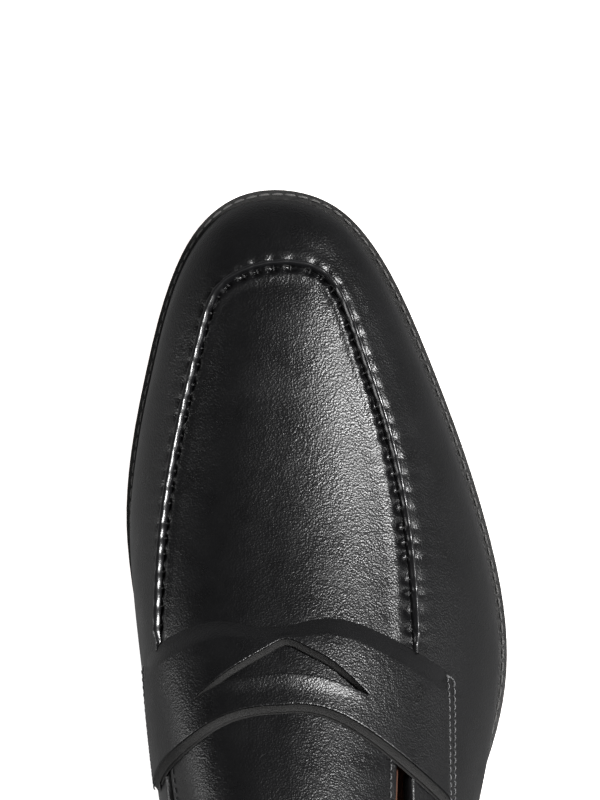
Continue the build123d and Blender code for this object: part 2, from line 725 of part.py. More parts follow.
def make_side_stitches():
    """Double rows that close the quarters on the wall, below the strap ends."""
    fall = np.linspace(0.30, 0.95, 14)
    solids = []
    for join, slide in ((JOIN_INNER, -1), (JOIN_OUTER, 1)):
        for back in (2.0, 4.2):
            ends = []
            for shift in (-0.016, 0.016):
                f = fall + shift
                q = join + slide * (JOIN_SLANT * f + back)
                k_top = rim(q)
                k = k_top + (k_at_height(q, 0.5) - k_top) * f
                ends.append(on_skin(q, k, 0 * q + THREAD + 0.04))
            solids += row_of_threads(*ends)
    return solids


def make_back_strap():
    q = np.linspace(-1, 1, 9)[:, None]
    fall = np.linspace(0, 1, 15)[None, :]
    q = q * (5.0 + 4.0 * fall)
    k_top = rim_k(0.004)(q)
    k = k_top + (k_at_height(q, 2.0) - k_top) * fall
    return panel(on_skin(q, k, 0 * q + GLUE + 1.1), on_skin(q, k, 0 * q + GLUE))


def make_back_strap_stitches():
    fall = np.linspace(0.05, 0.95, 20)
    solids = []
    for side in (-1, 1):
        ends = []
        for shift in (-0.016, 0.016):
            f = fall + shift
            q = side * (4.0 + 4.0 * f)
            k_top = rim(np.mod(q, ROUND))
            k = k_top + (k_at_height(q, 2.0) - k_top) * f
            ends.append(on_skin(q, k, 0 * q + GLUE + 1.1 + THREAD + 0.04))
        solids += row_of_threads(*ends)
    return solids


def inner_wall(q_from, q_to, near, far, columns, top=0.0, low=BOARD_TOP + GLUE):
    q, k = wall_grid(q_from, q_to, rim_k(top), low, columns)
    return layer(q, k, near, far)


def make_heel_counter():
    top = lambda q: rim(np.mod(q, ROUND)) + 0.10
    q, k = wall_grid(-92, 92, top, BOARD_TOP + GLUE, 30)
    return layer(q, k, UPPER + GLUE, UPPER + GLUE + STIFFENER)


def make_heel_grip():
    share = np.linspace(-1, 1, 21)[:, None]
    fall = np.linspace(0, 1, 9)[None, :]
    q = 44 * share + 0 * fall
    k = rim_k(0.03)(q) + (0.24 - 0.10 * share**2) * fall
    return layer(q, k, LINING_IN + GLUE, LINING_IN + GLUE + 0.8)


def make_parts():
    parts = {
        "vamp_wall": make_vamp_wall(),
        "quarter_inner": make_quarter(True),
        "quarter_outer": make_quarter(False),
        "apron": make_apron(0.15, UPPER),
        "apron_lining": make_apron_lining(),
        "apron_seam_bead": rail(np.linspace(195.2, 485.4, 110), 0.15, BEAD_HALF, 0.2,
                                BEAD_HEIGHT),
        "tongue": layer(*tongue_grid(), 0, UPPER),
        "tongue_lining": layer(*tongue_grid(0.012), UPPER + GLUE, UPPER + GLUE + LINING),
        "saddle_strap": make_strap(),
        "strap_backing": make_backing(),
        "topline_binding": rail(np.linspace(BINDING_OUTER - ROUND, BINDING_INNER, 90),
                                -LINING_IN / 2, LINING_IN / 2 + 0.2, 0.12, 1.5,
                                across_edge=True),
        "back_strap": make_back_strap(),
        "vamp_lining": inner_wall(131, 547, LINING_OUT, LINING_IN, 76),
        "quarter_lining_inner": inner_wall(0.8, 130.5, LINING_OUT, LINING_IN, 30),
        "quarter_lining_outer": inner_wall(547.5, ROUND - 0.8, LINING_OUT, LINING_IN, 30),
        "toe_puff": inner_wall(286, 386, UPPER + GLUE, UPPER + GLUE + STIFFENER, 30, top=0.02),
        "heel_counter": make_heel_counter(),
        "heel_grip": make_heel_grip(),
        "outsole": sole_layer(sole_inset, 0, OUTSOLE),
        "welt": make_welt(),
        "cork_filler": make_cork(),
        "cork_sheet": make_insole_pad(),
        "shank": make_shank(),
        "insole_board": sole_layer(lambda q: feather_inset(q) + 3.3, FEATHER + UPPER + 2 * GLUE,
                                   FEATHER + BOARD_TOP),
        "sock_liner": sole_layer(lambda q: 0.6 * feather_inset(q) + 4.7,
                                 FEATHER + BOARD_TOP, FEATHER + BOARD_TOP + SOCK),
        "heel_top_piece": make_top_piece(),
    }
    lift = (HEEL_HEIGHT - TOP_PIECE) / LIFTS
    for i in range(LIFTS):
        low = TOP_PIECE + i * lift
        parts[f"heel_lift_{i + 1}"] = heel_slab(low, low + lift)
    parts["top_piece_nails"] = make_top_piece_nails()
    parts["apron_stitches"] = make_apron_stitches()
    parts["strap_stitches_inner"] = make_strap_stitches(-1)
    parts["strap_stitches_outer"] = make_strap_stitches(1)
    parts["tongue_stitches"] = make_tongue_stitches()
    parts["topline_stitches"] = make_topline_stitches()
    parts["side_seam_stitches"] = make_side_stitches()
    parts["back_strap_stitches"] = make_back_strap_stitches()
    parts["welt_stitches"] = make_welt_stitches()
    return parts


os.makedirs("parts", exist_ok=True)
for name, shape in make_parts().items():
    if isinstance(shape, list):
        shape = Compound(children=shape)
    export_step(shape, f"parts/{name}.step")
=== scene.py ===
import bpy
import bmesh
import numpy as np
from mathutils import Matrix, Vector


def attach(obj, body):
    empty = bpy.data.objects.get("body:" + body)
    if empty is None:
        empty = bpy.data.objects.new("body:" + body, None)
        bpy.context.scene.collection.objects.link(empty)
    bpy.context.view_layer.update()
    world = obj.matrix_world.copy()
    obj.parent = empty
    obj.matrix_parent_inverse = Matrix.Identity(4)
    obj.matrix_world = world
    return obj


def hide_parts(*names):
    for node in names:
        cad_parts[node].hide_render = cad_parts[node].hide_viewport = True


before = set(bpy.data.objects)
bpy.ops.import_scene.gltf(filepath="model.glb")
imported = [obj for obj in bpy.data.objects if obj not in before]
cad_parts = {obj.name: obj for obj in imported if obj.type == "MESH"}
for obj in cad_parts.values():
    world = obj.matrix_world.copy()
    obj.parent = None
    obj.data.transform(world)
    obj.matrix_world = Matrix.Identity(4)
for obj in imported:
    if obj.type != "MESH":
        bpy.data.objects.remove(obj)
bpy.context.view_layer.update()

# Penny loafer.  The upper, its linings and its threads are built here in millimetres on
# the same last as the CAD model, and scaled to metres.  The sole, the heel, the sock liner
# and the hidden stiffeners keep their CAD solids and get materials.
MM = 0.001
HEEL_HEIGHT, TOE_SPRING = 20.0, 9.0
OUTSOLE, WELT = 5.0, 2.7
UPPER, LINING, STIFFENER, GLUE = 1.4, 1.0, 0.9, 0.1
BREAST_Y = -88.0
FLAT_FROM, FLAT_TO = 25.0, 62.0
TOE_Y, HEEL_Y = 150.6, -150.2
FEATHER = OUTSOLE + WELT
LINING_OUT = UPPER + STIFFENER + 2 * GLUE
LINING_IN = LINING_OUT + LINING
INSOLE = 2.6
BOARD_TOP = UPPER + 2 * GLUE + INSOLE
WALL_FOOT = 0.25
TUCK_HEIGHT = 16
TOE_ROOF, TOE_ROOF_FALL = 42, 0.27
MM_PER_K = 62

UPPER_PLAN = [
    (0, HEEL_Y), (-18.5, -144.2), (-31, -128), (-35.4, -104), (-36.2, -80),
    (-38.5, -55), (-42.2, -30), (-47.2, 3.6), (-51.4, 37.5), (-52.7, 58),
    (-50.9, 80), (-46.1, 105.3), (-38.4, 130.7), (-25.6, 147), (-12.5, TOE_Y),
    (3, 147), (17.8, 130.7), (29.6, 105.3), (39.2, 79.9), (46.9, 54.5),
    (51.2, 33), (51.9, 15), (49.3, -4.8), (45, -24), (40.3, -50),
    (37.2, -78), (36.2, -104), (31.5, -128), (18.8, -144.2),
]
TOE_CORNER = 14


# ---------------------------------------------------------------- the last
def curve(knots, values, closed=False):
    """Smooth curve through a few values, as a function of a running number."""
    t = np.asarray(knots, float)
    v = np.asarray(values, float).reshape(len(t), -1)
    if closed:
        turn = t[-1] - t[0]
        t = np.concatenate([t[:-1] - turn, t[:-1], t + turn])
        v = np.concatenate([v[:-1], v[:-1], v])
    gaps = np.diff(t)
    system = np.eye(len(t))
    right = np.zeros_like(v)
    for i in range(1, len(t) - 1):
        system[i, i - 1:i + 2] = gaps[i - 1], 2 * (gaps[i - 1] + gaps[i]), gaps[i]
        right[i] = 6 * ((v[i + 1] - v[i]) / gaps[i] - (v[i] - v[i - 1]) / gaps[i - 1])
    bend = np.linalg.solve(system, right)

    def at(x):
        x = np.clip(np.asarray(x, float), t[0], t[-1])
        i = np.clip(np.searchsorted(t, x, side="right") - 1, 0, len(t) - 2)
        after = (t[i + 1] - x)[..., None]
        before = (x - t[i])[..., None]
        gap = gaps[i][..., None]
        out = (bend[i] * after**3 + bend[i + 1] * before**3) / (6 * gap)
        out += (v[i] / gap - bend[i] * gap / 6) * after
        out += (v[i + 1] / gap - bend[i + 1] * gap / 6) * before
        return out[..., 0] if v.shape[1] == 1 else out

    return at


plan_points = np.array(UPPER_PLAN + UPPER_PLAN[:1], float)
plan_q = np.concatenate([[0], np.cumsum(np.linalg.norm(np.diff(plan_points, axis=0), axis=1))])
ROUND = plan_q[-1]
TOE_Q = plan_q[TOE_CORNER]
outline = curve(plan_q, plan_points, closed=True)

TOE_FAN, TOE_CENTRE = 60.0, 104.0
HEEL_FAN, HEEL_CENTRE = -80.0, -115.0
ridge_x = curve([-115, -80, -40, 0, 60, 104], [0.5, -2, -6, -9, -10.2, -11])
ridge_z = curve([-151, -90, -60, -34, -24, 1, 31, 61, 104],
                [115, 114.5, 111.5, 103.5, 98.8, 85.5, 69.5, 55.5, TOE_ROOF])
sole_z = curve([-88, -74, -60, -30, 0, 25], [20, 19, 15.9, 7.8, 1.9, 0])
toe_z = curve([62, 90, 120, 152], [0, 1.0, 3.9, TOE_SPRING])
inner_power = curve([-150, -60, 0, 30, 60, 95, 150], [2.5, 2.8, 3.2, 3.2, 2.75, 2.4, 2.4])
outer_power = curve([-150, -60, 0, 60, 150], [2.5, 2.3, 1.85, 2.05, 2.4])
feather_inset = curve([0, 60, 110, 150, 190, 227, 336, 430, 500, 562, 617, ROUND],
                      [3.4, 3.6, 8.5, 7.5, 3.8, 2.2, 2.2, 2.0, 2.5, 7, 3.6, 3.4])
sole_inset = curve([0, 60, 110, 150, 190, 206, 227, 275, 336, 380, 430, 478, 500, 520,
                    562, 617, ROUND],
                   [1.2, 1.4, 5.5, 4.3, 0.9, -0.1, -0.9, -0.9, -0.8, -1.2, -1.45, -1.5,
                    -1.1, 0.6, 4.5, 1.4, 1.2])
rim_curve = curve([0, 30, 62, 100, 130, 152, 172, 194, 215, 237, 261, 289, 305, 318, 335, 350,
                   364, 385, 416, 453, 485, 508, 528, 550, 585, 620, 650, ROUND],
                  [0.585, 0.60, 0.665, 0.70, 0.69, 0.655, 0.60, 0.541, 0.492, 0.463, 0.441,
                   0.419, 0.407, 0.357, 0.338, 0.36, 0.393, 0.387, 0.404, 0.42, 0.422, 0.428,
                   0.442, 0.50, 0.62, 0.655, 0.60, 0.585])


def rim(q):
    return rim_curve(np.mod(q, ROUND))


def roof(y):
    y = np.asarray(y, float)
    return np.where(y > TOE_CENTRE, TOE_ROOF - TOE_ROOF_FALL * (y - TOE_CENTRE),
                    ridge_z(np.minimum(y, TOE_CENTRE)))


def sole_bottom(y):
    y = np.asarray(y, float)
    rise = np.where(y < FLAT_FROM, sole_z(y), np.where(y > FLAT_TO, toe_z(y), 0))
    return np.where(y < BREAST_Y, HEEL_HEIGHT, rise)


def ridge_end(y):
    toe_turn = (TOE_Y - TOE_FAN) / (TOE_CENTRE - TOE_FAN)
    heel_turn = (HEEL_FAN - HEEL_Y) / (HEEL_FAN - HEEL_CENTRE)
    toe_way = np.clip((y - TOE_FAN) / (TOE_Y - TOE_FAN), 0, 1)
    heel_way = np.clip((HEEL_FAN - y) / (HEEL_FAN - HEEL_Y), 0, 1)
    toe = TOE_CENTRE - (TOE_CENTRE - TOE_FAN) * (1 - toe_way) ** toe_turn
    heel = HEEL_CENTRE + (HEEL_FAN - HEEL_CENTRE) * (1 - heel_way) ** heel_turn
    return np.where(y > TOE_FAN, toe, np.where(y < HEEL_FAN, heel, y))


def section(q):
    q = np.mod(q, ROUND)
    edge = outline(q)
    end = ridge_end(edge[..., 1])
    ridge = np.stack([ridge_x(end), end], -1)
    power = np.where(q < TOE_Q, inner_power(edge[..., 1]), outer_power(edge[..., 1]))
    inward = ridge - edge
    inward = inward / np.linalg.norm(inward, axis=-1, keepdims=True)
    return q, edge, ridge, power, inward


def skin(q, k):
    """Point of the upper's outer face: q round the outline, k 0 on the ridge, 1 at the feather."""
    q, k = np.broadcast_arrays(np.asarray(q, float), np.asarray(k, float))
    q, edge, ridge, power, inward = section(q)
    angle = np.clip(1 - k, 0, 1) * np.pi / 2
    run = 1 - np.clip(np.cos(angle), 0, 1) ** (2 / power)
    climb = np.sin(angle) ** (2 / power)
    base = sole_bottom(edge[..., 1]) + FEATHER
    drop = roof(edge[..., 1]) - base
    plan = edge + (ridge - edge) * run[..., None]
    z = roof(plan[..., 1]) - drop * (1 - climb)
    tuck = feather_inset(q) * np.clip(1 - (z - base) / TUCK_HEIGHT, 0, 1) ** 2
    plan = plan + inward * tuck[..., None]
    return np.concatenate([plan, z[..., None]], -1)


def axes(q, k):
    """Unit vectors along the outline, up the side and out of the skin."""
    q, k = np.broadcast_arrays(np.asarray(q, float), np.clip(k, 0.006, 0.994))
    along = skin(q + 0.3, k) - skin(q - 0.3, k)
    up = skin(q, k - 0.005) - skin(q, k + 0.005)
    out = np.cross(up, along)
    along = along / np.linalg.norm(along, axis=-1, keepdims=True)
    out = out / np.linalg.norm(out, axis=-1, keepdims=True)
    return along, np.cross(along, out), out


def on_skin(q, k, out=0.0, up=0.0):
    _, rise, normal = axes(q, k)
    return (skin(q, k) + normal * np.asarray(out, float)[..., None]
            + rise * np.asarray(up, float)[..., None])


def k_at_height(q, height):
    """k of the skin point at a height above the welt."""
    _, edge, _, power, _ = section(q)
    drop = roof(edge[..., 1]) - sole_bottom(edge[..., 1]) - FEATHER
    return 1 - np.arcsin((height / drop) ** (power / 2)) / (np.pi / 2)


SIDE_Q = np.linspace(0, ROUND, 2401)
SIDE_Y = outline(SIDE_Q)[:, 1]
inner_half = (SIDE_Q < TOE_Q - 5) & (SIDE_Q > 10)
outer_half = (SIDE_Q > TOE_Q + 5) & (SIDE_Q < ROUND - 10)


def q_across(k, y):
    """q of the outline at y, on the inner side for a negative k and the outer side otherwise."""
    inner = np.interp(y, SIDE_Y[inner_half], SIDE_Q[inner_half])
    outer = np.interp(y, SIDE_Y[outer_half][::-1], SIDE_Q[outer_half][::-1])
    return np.where(np.asarray(k) < 0, inner, outer)


def locate(x, y):
    """q and k of the skin point straight above or below a plan point."""
    low = np.full(x.shape, q_across(-1, -60.0))
    high = np.full(x.shape, q_across(1, -60.0))
    for _ in range(34):
        q = (low + high) / 2
        _, edge, ridge, _, _ = section(q)
        line = ridge - edge
        ahead = line[..., 0] * (y - edge[..., 1]) - line[..., 1] * (x - edge[..., 0]) > 0
        low, high = np.where(ahead, q, low), np.where(ahead, high, q)
    _, edge, _, _, inward = section(q)
    wanted = (x - edge[..., 0]) * inward[..., 0] + (y - edge[..., 1]) * inward[..., 1]
    near, far = np.zeros(x.shape), np.ones(x.shape)
    for _ in range(30):
        k = (near + far) / 2
        point = skin(q, k)[..., :2] - edge
        inside = (point * inward).sum(-1) > wanted
        near, far = np.where(inside, k, near), np.where(inside, far, k)
    return q, k


# ---------------------------------------------------------------- mesh helpers
def add_mesh(name, points, faces, material, body="shoe", smooth_angle=40, edge_from=None,
             edge_look=None):
    mesh = bpy.data.meshes.new(name)
    mesh.from_pydata((np.asarray(points) * MM).tolist(), [], faces)
    if edge_from is not None:
        raw_edge = (np.arange(len(faces)) >= edge_from).astype(np.int32)
        mesh.polygons.foreach_set("material_index", raw_edge)
    tidy = bmesh.new()
    tidy.from_mesh(mesh)
    bmesh.ops.remove_doubles(tidy, verts=tidy.verts, dist=2e-7)
    bmesh.ops.recalc_face_normals(tidy, faces=tidy.faces)
    tidy.to_mesh(mesh)
    tidy.free()
    mesh.shade_smooth()
    mesh.set_sharp_from_angle(angle=np.radians(smooth_angle))
    piece = bpy.data.objects.new(name, mesh)
    bpy.context.collection.objects.link(piece)
    piece.data.materials.append(material)
    if edge_from is not None:
        piece.data.materials.append(edge_look)
    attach(piece, body)
    return piece


def grid_faces(rows, columns, start=0):
    i, j = np.meshgrid(np.arange(rows - 1), np.arange(columns - 1), indexing="ij")
    corner = (start + i * columns + j).ravel()
    return np.stack([corner, corner + 1, corner + columns + 1, corner + columns], -1)


def thick_points(outer, inner, faces):
    """Closed shell from two matching point lists and one list of quads."""
    count = len(outer)
    edges = np.concatenate([faces[:, [a, (a + 1) % 4]] for a in range(4)])
    key = np.sort(edges, 1)
    _, first, uses = np.unique(key, axis=0, return_index=True, return_counts=True)
    border = edges[first[uses == 1]]
    walls = np.stack([border[:, 0], border[:, 1], border[:, 1] + count, border[:, 0] + count], -1)
    everything = np.concatenate([faces, faces[:, ::-1] + count, walls])
    return np.concatenate([outer, inner]), everything.tolist()


def add_sheet(name, outer, inner, material, body="shoe", smooth_angle=40):
    faces = grid_faces(*outer.shape[:2])
    points, quads = thick_points(outer.reshape(-1, 3), inner.reshape(-1, 3), faces)
    return add_mesh(name, points, quads, material, body, smooth_angle)


def rounded(distance, radius):
    """How far an edge has rounded off at a distance from its border."""
    near = np.clip(radius - distance, 0, radius)
    return radius - np.sqrt(np.maximum(radius**2 - near**2, 0))


def bell(distance, centre, width):
    """1 at the centre, fading away to both sides."""
    return np.exp(-((distance - centre) / width) ** 2)


def eased(way):
    """0 to 1 with a soft start and a soft end."""
    return way**2 * (3 - 2 * way)


def edged(count, finest=0.12, rows=4):
    """0 to 1 with a few extra steps close to both ends."""
    middle = np.linspace(0, 1, count)
    step = middle[1]
    extra = step * finest * np.arange(1, rows + 1) ** 1.6 / rows**0.6
    extra = extra[extra < step * 0.95]
    return np.sort(np.concatenate([middle, extra, 1 - extra]))


def tubes(paths, radius, sides=7):
    """Points and faces of closed tubes with rounded ends along equal-length paths."""
    paths = np.asarray(paths, float)
    number, steps, _ = paths.shape
    tangent = np.gradient(paths, axis=1)
    tangent /= np.linalg.norm(tangent, axis=-1, keepdims=True)
    side = np.cross(tangent, np.array([0.31, 0.42, 0.85]))
    side /= np.linalg.norm(side, axis=-1, keepdims=True)
    other = np.cross(tangent, side)
    turn = np.linspace(0, 2 * np.pi, sides, endpoint=False)
    swell = np.sin(np.linspace(0.35, np.pi - 0.35, steps)) ** 0.35
    ring = (side[:, :, None] * np.cos(turn)[:, None] + other[:, :, None] * np.sin(turn)[:, None])
    points = paths[:, :, None] + ring * (radius * swell)[None, :, None, None]
    points = points.reshape(-1, 3)
    faces = []
    for n in range(number):
        base = n * steps * sides
        for s in range(steps - 1):
            for a in range(sides):
                b = (a + 1) % sides
                low = base + s * sides
                faces.append([low + a, low + b, low + sides + b, low + sides + a])
        faces.append([base + a for a in range(sides)])
        faces.append([base + (steps - 1) * sides + a for a in reversed(range(sides))])
    return points, faces


STEP = np.linspace(-1, 1, 5)[None, :]
DIVE = np.abs(STEP) ** 4


def add_threads(name, paths, material, radius=0.22, body="shoe", node=None):
    points, faces = tubes(paths, radius)
    piece = add_mesh(name, points, faces, material, body, 60)
    if node:
        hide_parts(node)
    return piece


def spaced(points, pitch):
    way = np.concatenate([[0], np.cumsum(np.linalg.norm(np.diff(points, axis=0), axis=1))])
    count = int(way[-1] / pitch)
    wanted = (np.arange(count) + 0.5) * way[-1] / count
    return np.interp(wanted, way, np.linspace(0, 1, len(points)))


# ---------------------------------------------------------------- materials
def node_material(name):
    material = bpy.data.materials.new(name)
    material.use_nodes = True
    tree = material.node_tree
    shader = tree.nodes["Principled BSDF"]
    place = tree.nodes.new("ShaderNodeTexCoord")
    scale = tree.nodes.new("ShaderNodeVectorMath")
    scale.operation = "SCALE"
    scale.inputs["Scale"].default_value = 1000.0
    tree.links.new(place.outputs["Object"], scale.inputs[0])
    return material, tree, shader, scale.outputs[0]


def noise(tree, where, scale, detail=4.0, rough=0.55, distortion=0.0):
    node = tree.nodes.new("ShaderNodeTexNoise")
    node.inputs["Scale"].default_value = scale
    node.inputs["Detail"].default_value = detail
    node.inputs["Roughness"].default_value = rough
    node.inputs["Lacunarity"].default_value = 2.17
    node.inputs["Distortion"].default_value = distortion
    tree.links.new(where, node.inputs["Vector"])
    return node.outputs["Fac"]


def cells(tree, where, scale):
    node = tree.nodes.new("ShaderNodeTexVoronoi")
    node.inputs["Scale"].default_value = scale
    tree.links.new(where, node.inputs["Vector"])
    return node.outputs["Distance"]


def ramp(tree, value, stops):
    node = tree.nodes.new("ShaderNodeValToRGB")
    ends = node.color_ramp.elements
    while len(ends) < len(stops):
        ends.new(0.5)
    for end, (position, colour) in zip(ends, stops):
        end.position = position
        end.color = (*colour, 1)
    tree.links.new(value, node.inputs["Fac"])
    return node.outputs["Color"]


def span(tree, value, low, high, from_low=0.0, from_high=1.0):
    node = tree.nodes.new("ShaderNodeMapRange")
    node.inputs["From Min"].default_value = from_low
    node.inputs["From Max"].default_value = from_high
    node.inputs["To Min"].default_value = low
    node.inputs["To Max"].default_value = high
    tree.links.new(value, node.inputs["Value"])
    return node.outputs["Result"]


def add_up(tree, a, b, weight):
    node = tree.nodes.new("ShaderNodeMath")
    node.operation = "MULTIPLY_ADD"
    tree.links.new(b, node.inputs[0])
    node.inputs[1].default_value = weight
    tree.links.new(a, node.inputs[2])
    return node.outputs[0]


def bump(tree, shader, height, depth_mm):
    node = tree.nodes.new("ShaderNodeBump")
    node.inputs["Strength"].default_value = 1.0
    node.inputs["Distance"].default_value = depth_mm * MM
    tree.links.new(height, node.inputs["Height"])
    tree.links.new(node.outputs["Normal"], shader.inputs["Normal"])


def leather(name, dark, light, rough=(0.34, 0.46), grain=1.5, depth=0.10, coat=0.25,
            creases=0.8, specular=0.5):
    """Grained leather: pebbles with pores, faint creases, worn tone and gloss variation."""
    material, tree, shader, where = node_material(name)
    tone = noise(tree, where, 0.06, 5.0, 0.6)
    tree.links.new(ramp(tree, tone, [(0.3, dark), (0.75, light)]), shader.inputs["Base Color"])
    warp = tree.nodes.new("ShaderNodeVectorMath")
    warp.operation = "ADD"
    drift = tree.nodes.new("ShaderNodeTexNoise")
    drift.inputs["Scale"].default_value = 0.45
    tree.links.new(where, drift.inputs["Vector"])
    tree.links.new(where, warp.inputs[0])
    tree.links.new(drift.outputs["Color"], warp.inputs[1])
    pebble = cells(tree, warp.outputs[0], grain)
    fine = noise(tree, where, grain * 1.4, 3.0)
    crease = noise(tree, where, 0.35, 6.0, 0.62, 0.6)
    height = add_up(tree, pebble, fine, 0.45)
    height = add_up(tree, height, crease, creases)
    bump(tree, shader, height, depth)
    gloss = add_up(tree, noise(tree, where, 0.11, 4.0), fine, 0.25)
    tree.links.new(span(tree, gloss, rough[0], rough[1], 0.4, 0.85), shader.inputs["Roughness"])
    shader.inputs["Specular IOR Level"].default_value = specular
    shader.inputs["Coat Weight"].default_value = coat
    shader.inputs["Coat Roughness"].default_value = 0.32
    return material


def cut_leather(name, dark, light):
    """Raw cut edge: matte fibres."""
    material, tree, shader, where = node_material(name)
    fibre = noise(tree, where, 3.2, 6.0, 0.7)
    tree.links.new(ramp(tree, fibre, [(0.3, dark), (0.7, light)]), shader.inputs["Base Color"])
    bump(tree, shader, fibre, 0.25)
    tree.links.new(span(tree, fibre, 0.55, 0.85), shader.inputs["Roughness"])
    return material


def twisted_thread(name, dark, light):
    material, tree, shader, where = node_material(name)
    wave = tree.nodes.new("ShaderNodeTexWave")
    wave.bands_direction = "DIAGONAL"
    wave.inputs["Scale"].default_value = 1.6
    wave.inputs["Distortion"].default_value = 1.0
    tree.links.new(where, wave.inputs["Vector"])
    # Stripes run from the dark colour to the light one along the twist; a light colour far above
    # black paints glints on the ply ridges.
    tree.links.new(ramp(tree, wave.outputs["Fac"], [(0.2, dark), (0.8, light)]),
                   shader.inputs["Base Color"])
    bump(tree, shader, wave.outputs["Fac"], 0.12)
    tree.links.new(span(tree, wave.outputs["Fac"], 0.35, 0.55), shader.inputs["Roughness"])
    shader.inputs["Sheen Weight"].default_value = 0.3
    return material


def speckled(name, dark, light, scale, depth=0.15, rough=(0.55, 0.8), metal=0.0):
    material, tree, shader, where = node_material(name)
    grain = noise(tree, where, scale, 6.0, 0.65)
    tree.links.new(ramp(tree, grain, [(0.35, dark), (0.7, light)]), shader.inputs["Base Color"])
    bump(tree, shader, grain, depth)
    tree.links.new(span(tree, grain, *rough), shader.inputs["Roughness"])
    shader.inputs["Metallic"].default_value = metal
    return material


def sole_material():
    """Leather outsole: tan, finely brushed underneath, black dressed edge all round."""
    material, tree, shader, where = node_material("outsole_leather")
    fibre = noise(tree, where, 0.9, 6.0, 0.6)
    tan = ramp(tree, fibre, [(0.3, (0.30, 0.155, 0.07)), (0.7, (0.42, 0.24, 0.12))])
    black = ramp(tree, fibre, [(0.3, (0.008, 0.008, 0.008)), (0.8, (0.02, 0.019, 0.018))])
    facing = tree.nodes.new("ShaderNodeNewGeometry")
    split = tree.nodes.new("ShaderNodeSeparateXYZ")
    tree.links.new(facing.outputs["Normal"], split.inputs[0])
    under = span(tree, split.outputs["Z"], 1.0, 0.0, -0.85, -0.6)
    mix = tree.nodes.new("ShaderNodeMix")
    mix.data_type = "RGBA"
    tree.links.new(under, mix.inputs["Factor"])
    tree.links.new(black, mix.inputs["A"])
    tree.links.new(tan, mix.inputs["B"])
    tree.links.new(mix.outputs["Result"], shader.inputs["Base Color"])
    bump(tree, shader, fibre, 0.12)
    tree.links.new(span(tree, fibre, 0.35, 0.55), shader.inputs["Roughness"])
    return material


CALF = leather("black_calf", (0.0022, 0.0022, 0.0025), (0.0045, 0.0045, 0.005), rough=(0.25, 0.36),
               grain=1.7, depth=0.085, coat=0.1, creases=0.2)
POLISHED_CALF = leather("polished_black_calf", (0.004, 0.004, 0.0045), (0.008, 0.008, 0.009),
                        rough=(0.16, 0.26), grain=2.6, depth=0.02, coat=0.5, creases=0.2)
CALF_EDGE = cut_leather("black_cut_edge", (0.004, 0.004, 0.004), (0.040, 0.039, 0.038))
LINING_BROWN = leather("brown_lining_leather", (0.060, 0.018, 0.006), (0.105, 0.036, 0.013),
                       rough=(0.45, 0.6), grain=1.2, depth=0.05, coat=0.0)
SUEDE = leather("brown_suede", (0.075, 0.028, 0.012), (0.12, 0.05, 0.024), rough=(0.8, 0.95),
                grain=3.0, depth=0.12, coat=0.0)
# Black thread: its light grey stripes (0.22) are painted glints along the twist, not the thread's own
# colour.
GLINT_PAINTED_THREAD = twisted_thread("black_thread_painted_glint", (0.02, 0.02, 0.021), (0.22, 0.22, 0.225))
DARK_THREAD = twisted_thread("black_seam_thread", (0.004, 0.004, 0.004), (0.018, 0.018, 0.019))
WELT_THREAD = twisted_thread("welt_thread_dark", (0.03, 0.029, 0.028), (0.16, 0.155, 0.15))
EDGE_BLACK = speckled("dressed_black_edge", (0.006, 0.006, 0.006), (0.022, 0.021, 0.02), 1.4,
                      0.14, (0.32, 0.55))
NODE_LOOKS = {
    "outsole": sole_material(),
    "welt": EDGE_BLACK,
    "heel_top_piece": speckled("black_rubber", (0.008, 0.008, 0.008), (0.025, 0.025, 0.025), 2.5,
                               0.08, (0.6, 0.8)),
    "insole_board": speckled("fibre_board", (0.26, 0.17, 0.09), (0.40, 0.28, 0.16), 2.0),
    "cork_filler": speckled("cork_grains", (0.16, 0.08, 0.035), (0.45, 0.28, 0.14), 0.8, 0.3),
    "cork_sheet": speckled("cork_sheet_grains", (0.16, 0.08, 0.035), (0.45, 0.28, 0.14), 0.8, 0.3),
    "shank": speckled("shank_steel_brushed", (0.35, 0.35, 0.36), (0.6, 0.6, 0.62), 3.0, 0.03,
                      (0.25, 0.4), 1.0),
    "top_piece_nails": speckled("nail_brass_worn", (0.5, 0.35, 0.12), (0.75, 0.56, 0.22), 3.0,
                                0.03, (0.25, 0.45), 1.0),
    "toe_puff": speckled("stiffener_fibre", (0.35, 0.3, 0.2), (0.6, 0.52, 0.4), 1.5),
    "heel_counter": speckled("stiffener_fibre_heel", (0.35, 0.3, 0.2), (0.6, 0.52, 0.4), 1.5),
    "sock_liner": LINING_BROWN,
}
HEEL_LOOK = speckled("stacked_leather_edge", (0.006, 0.006, 0.006), (0.02, 0.018, 0.017), 1.0,
                     0.12, (0.3, 0.5))
for i in (1, 2, 3):
    NODE_LOOKS[f"heel_lift_{i}"] = HEEL_LOOK
for node, look in NODE_LOOKS.items():
    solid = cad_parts[node]
    for place in solid.material_slots:
        place.material = look
for node in ("outsole", "welt", "heel_lift_1", "heel_lift_2", "heel_lift_3", "heel_top_piece"):
    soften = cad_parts[node].modifiers.new("softened_edge", "BEVEL")
    soften.width = 0.35 * MM
    soften.segments = 2
    soften.limit_method = "ANGLE"
    soften.angle_limit = np.radians(50)
    soften.harden_normals = False

# ---------------------------------------------------------------- seam rhythm
APRON_PITCH, STRAP_PITCH, WELT_PITCH, FINE_PITCH = 4.9, 2.07, 3.6, 2.6
BEAD_HALF, BEAD_HEIGHT = 1.05, 1.9
SEAM_FROM, SEAM_TO = 195.0, 485.6
seam_dense = np.linspace(SEAM_FROM, SEAM_TO, 900)
seam_way = np.concatenate([[0], np.cumsum(np.linalg.norm(
    np.diff(skin(seam_dense, rim(seam_dense)), axis=0), axis=1))])
STITCHES = int(seam_way[-1] / APRON_PITCH)
scatter = np.random.default_rng(7)
uneven = curve(np.arange(STITCHES + 2), scatter.normal(0, 0.09, STITCHES + 2))
strong = curve(np.arange(STITCHES + 2), 1 + scatter.normal(0, 0.18, STITCHES + 2))


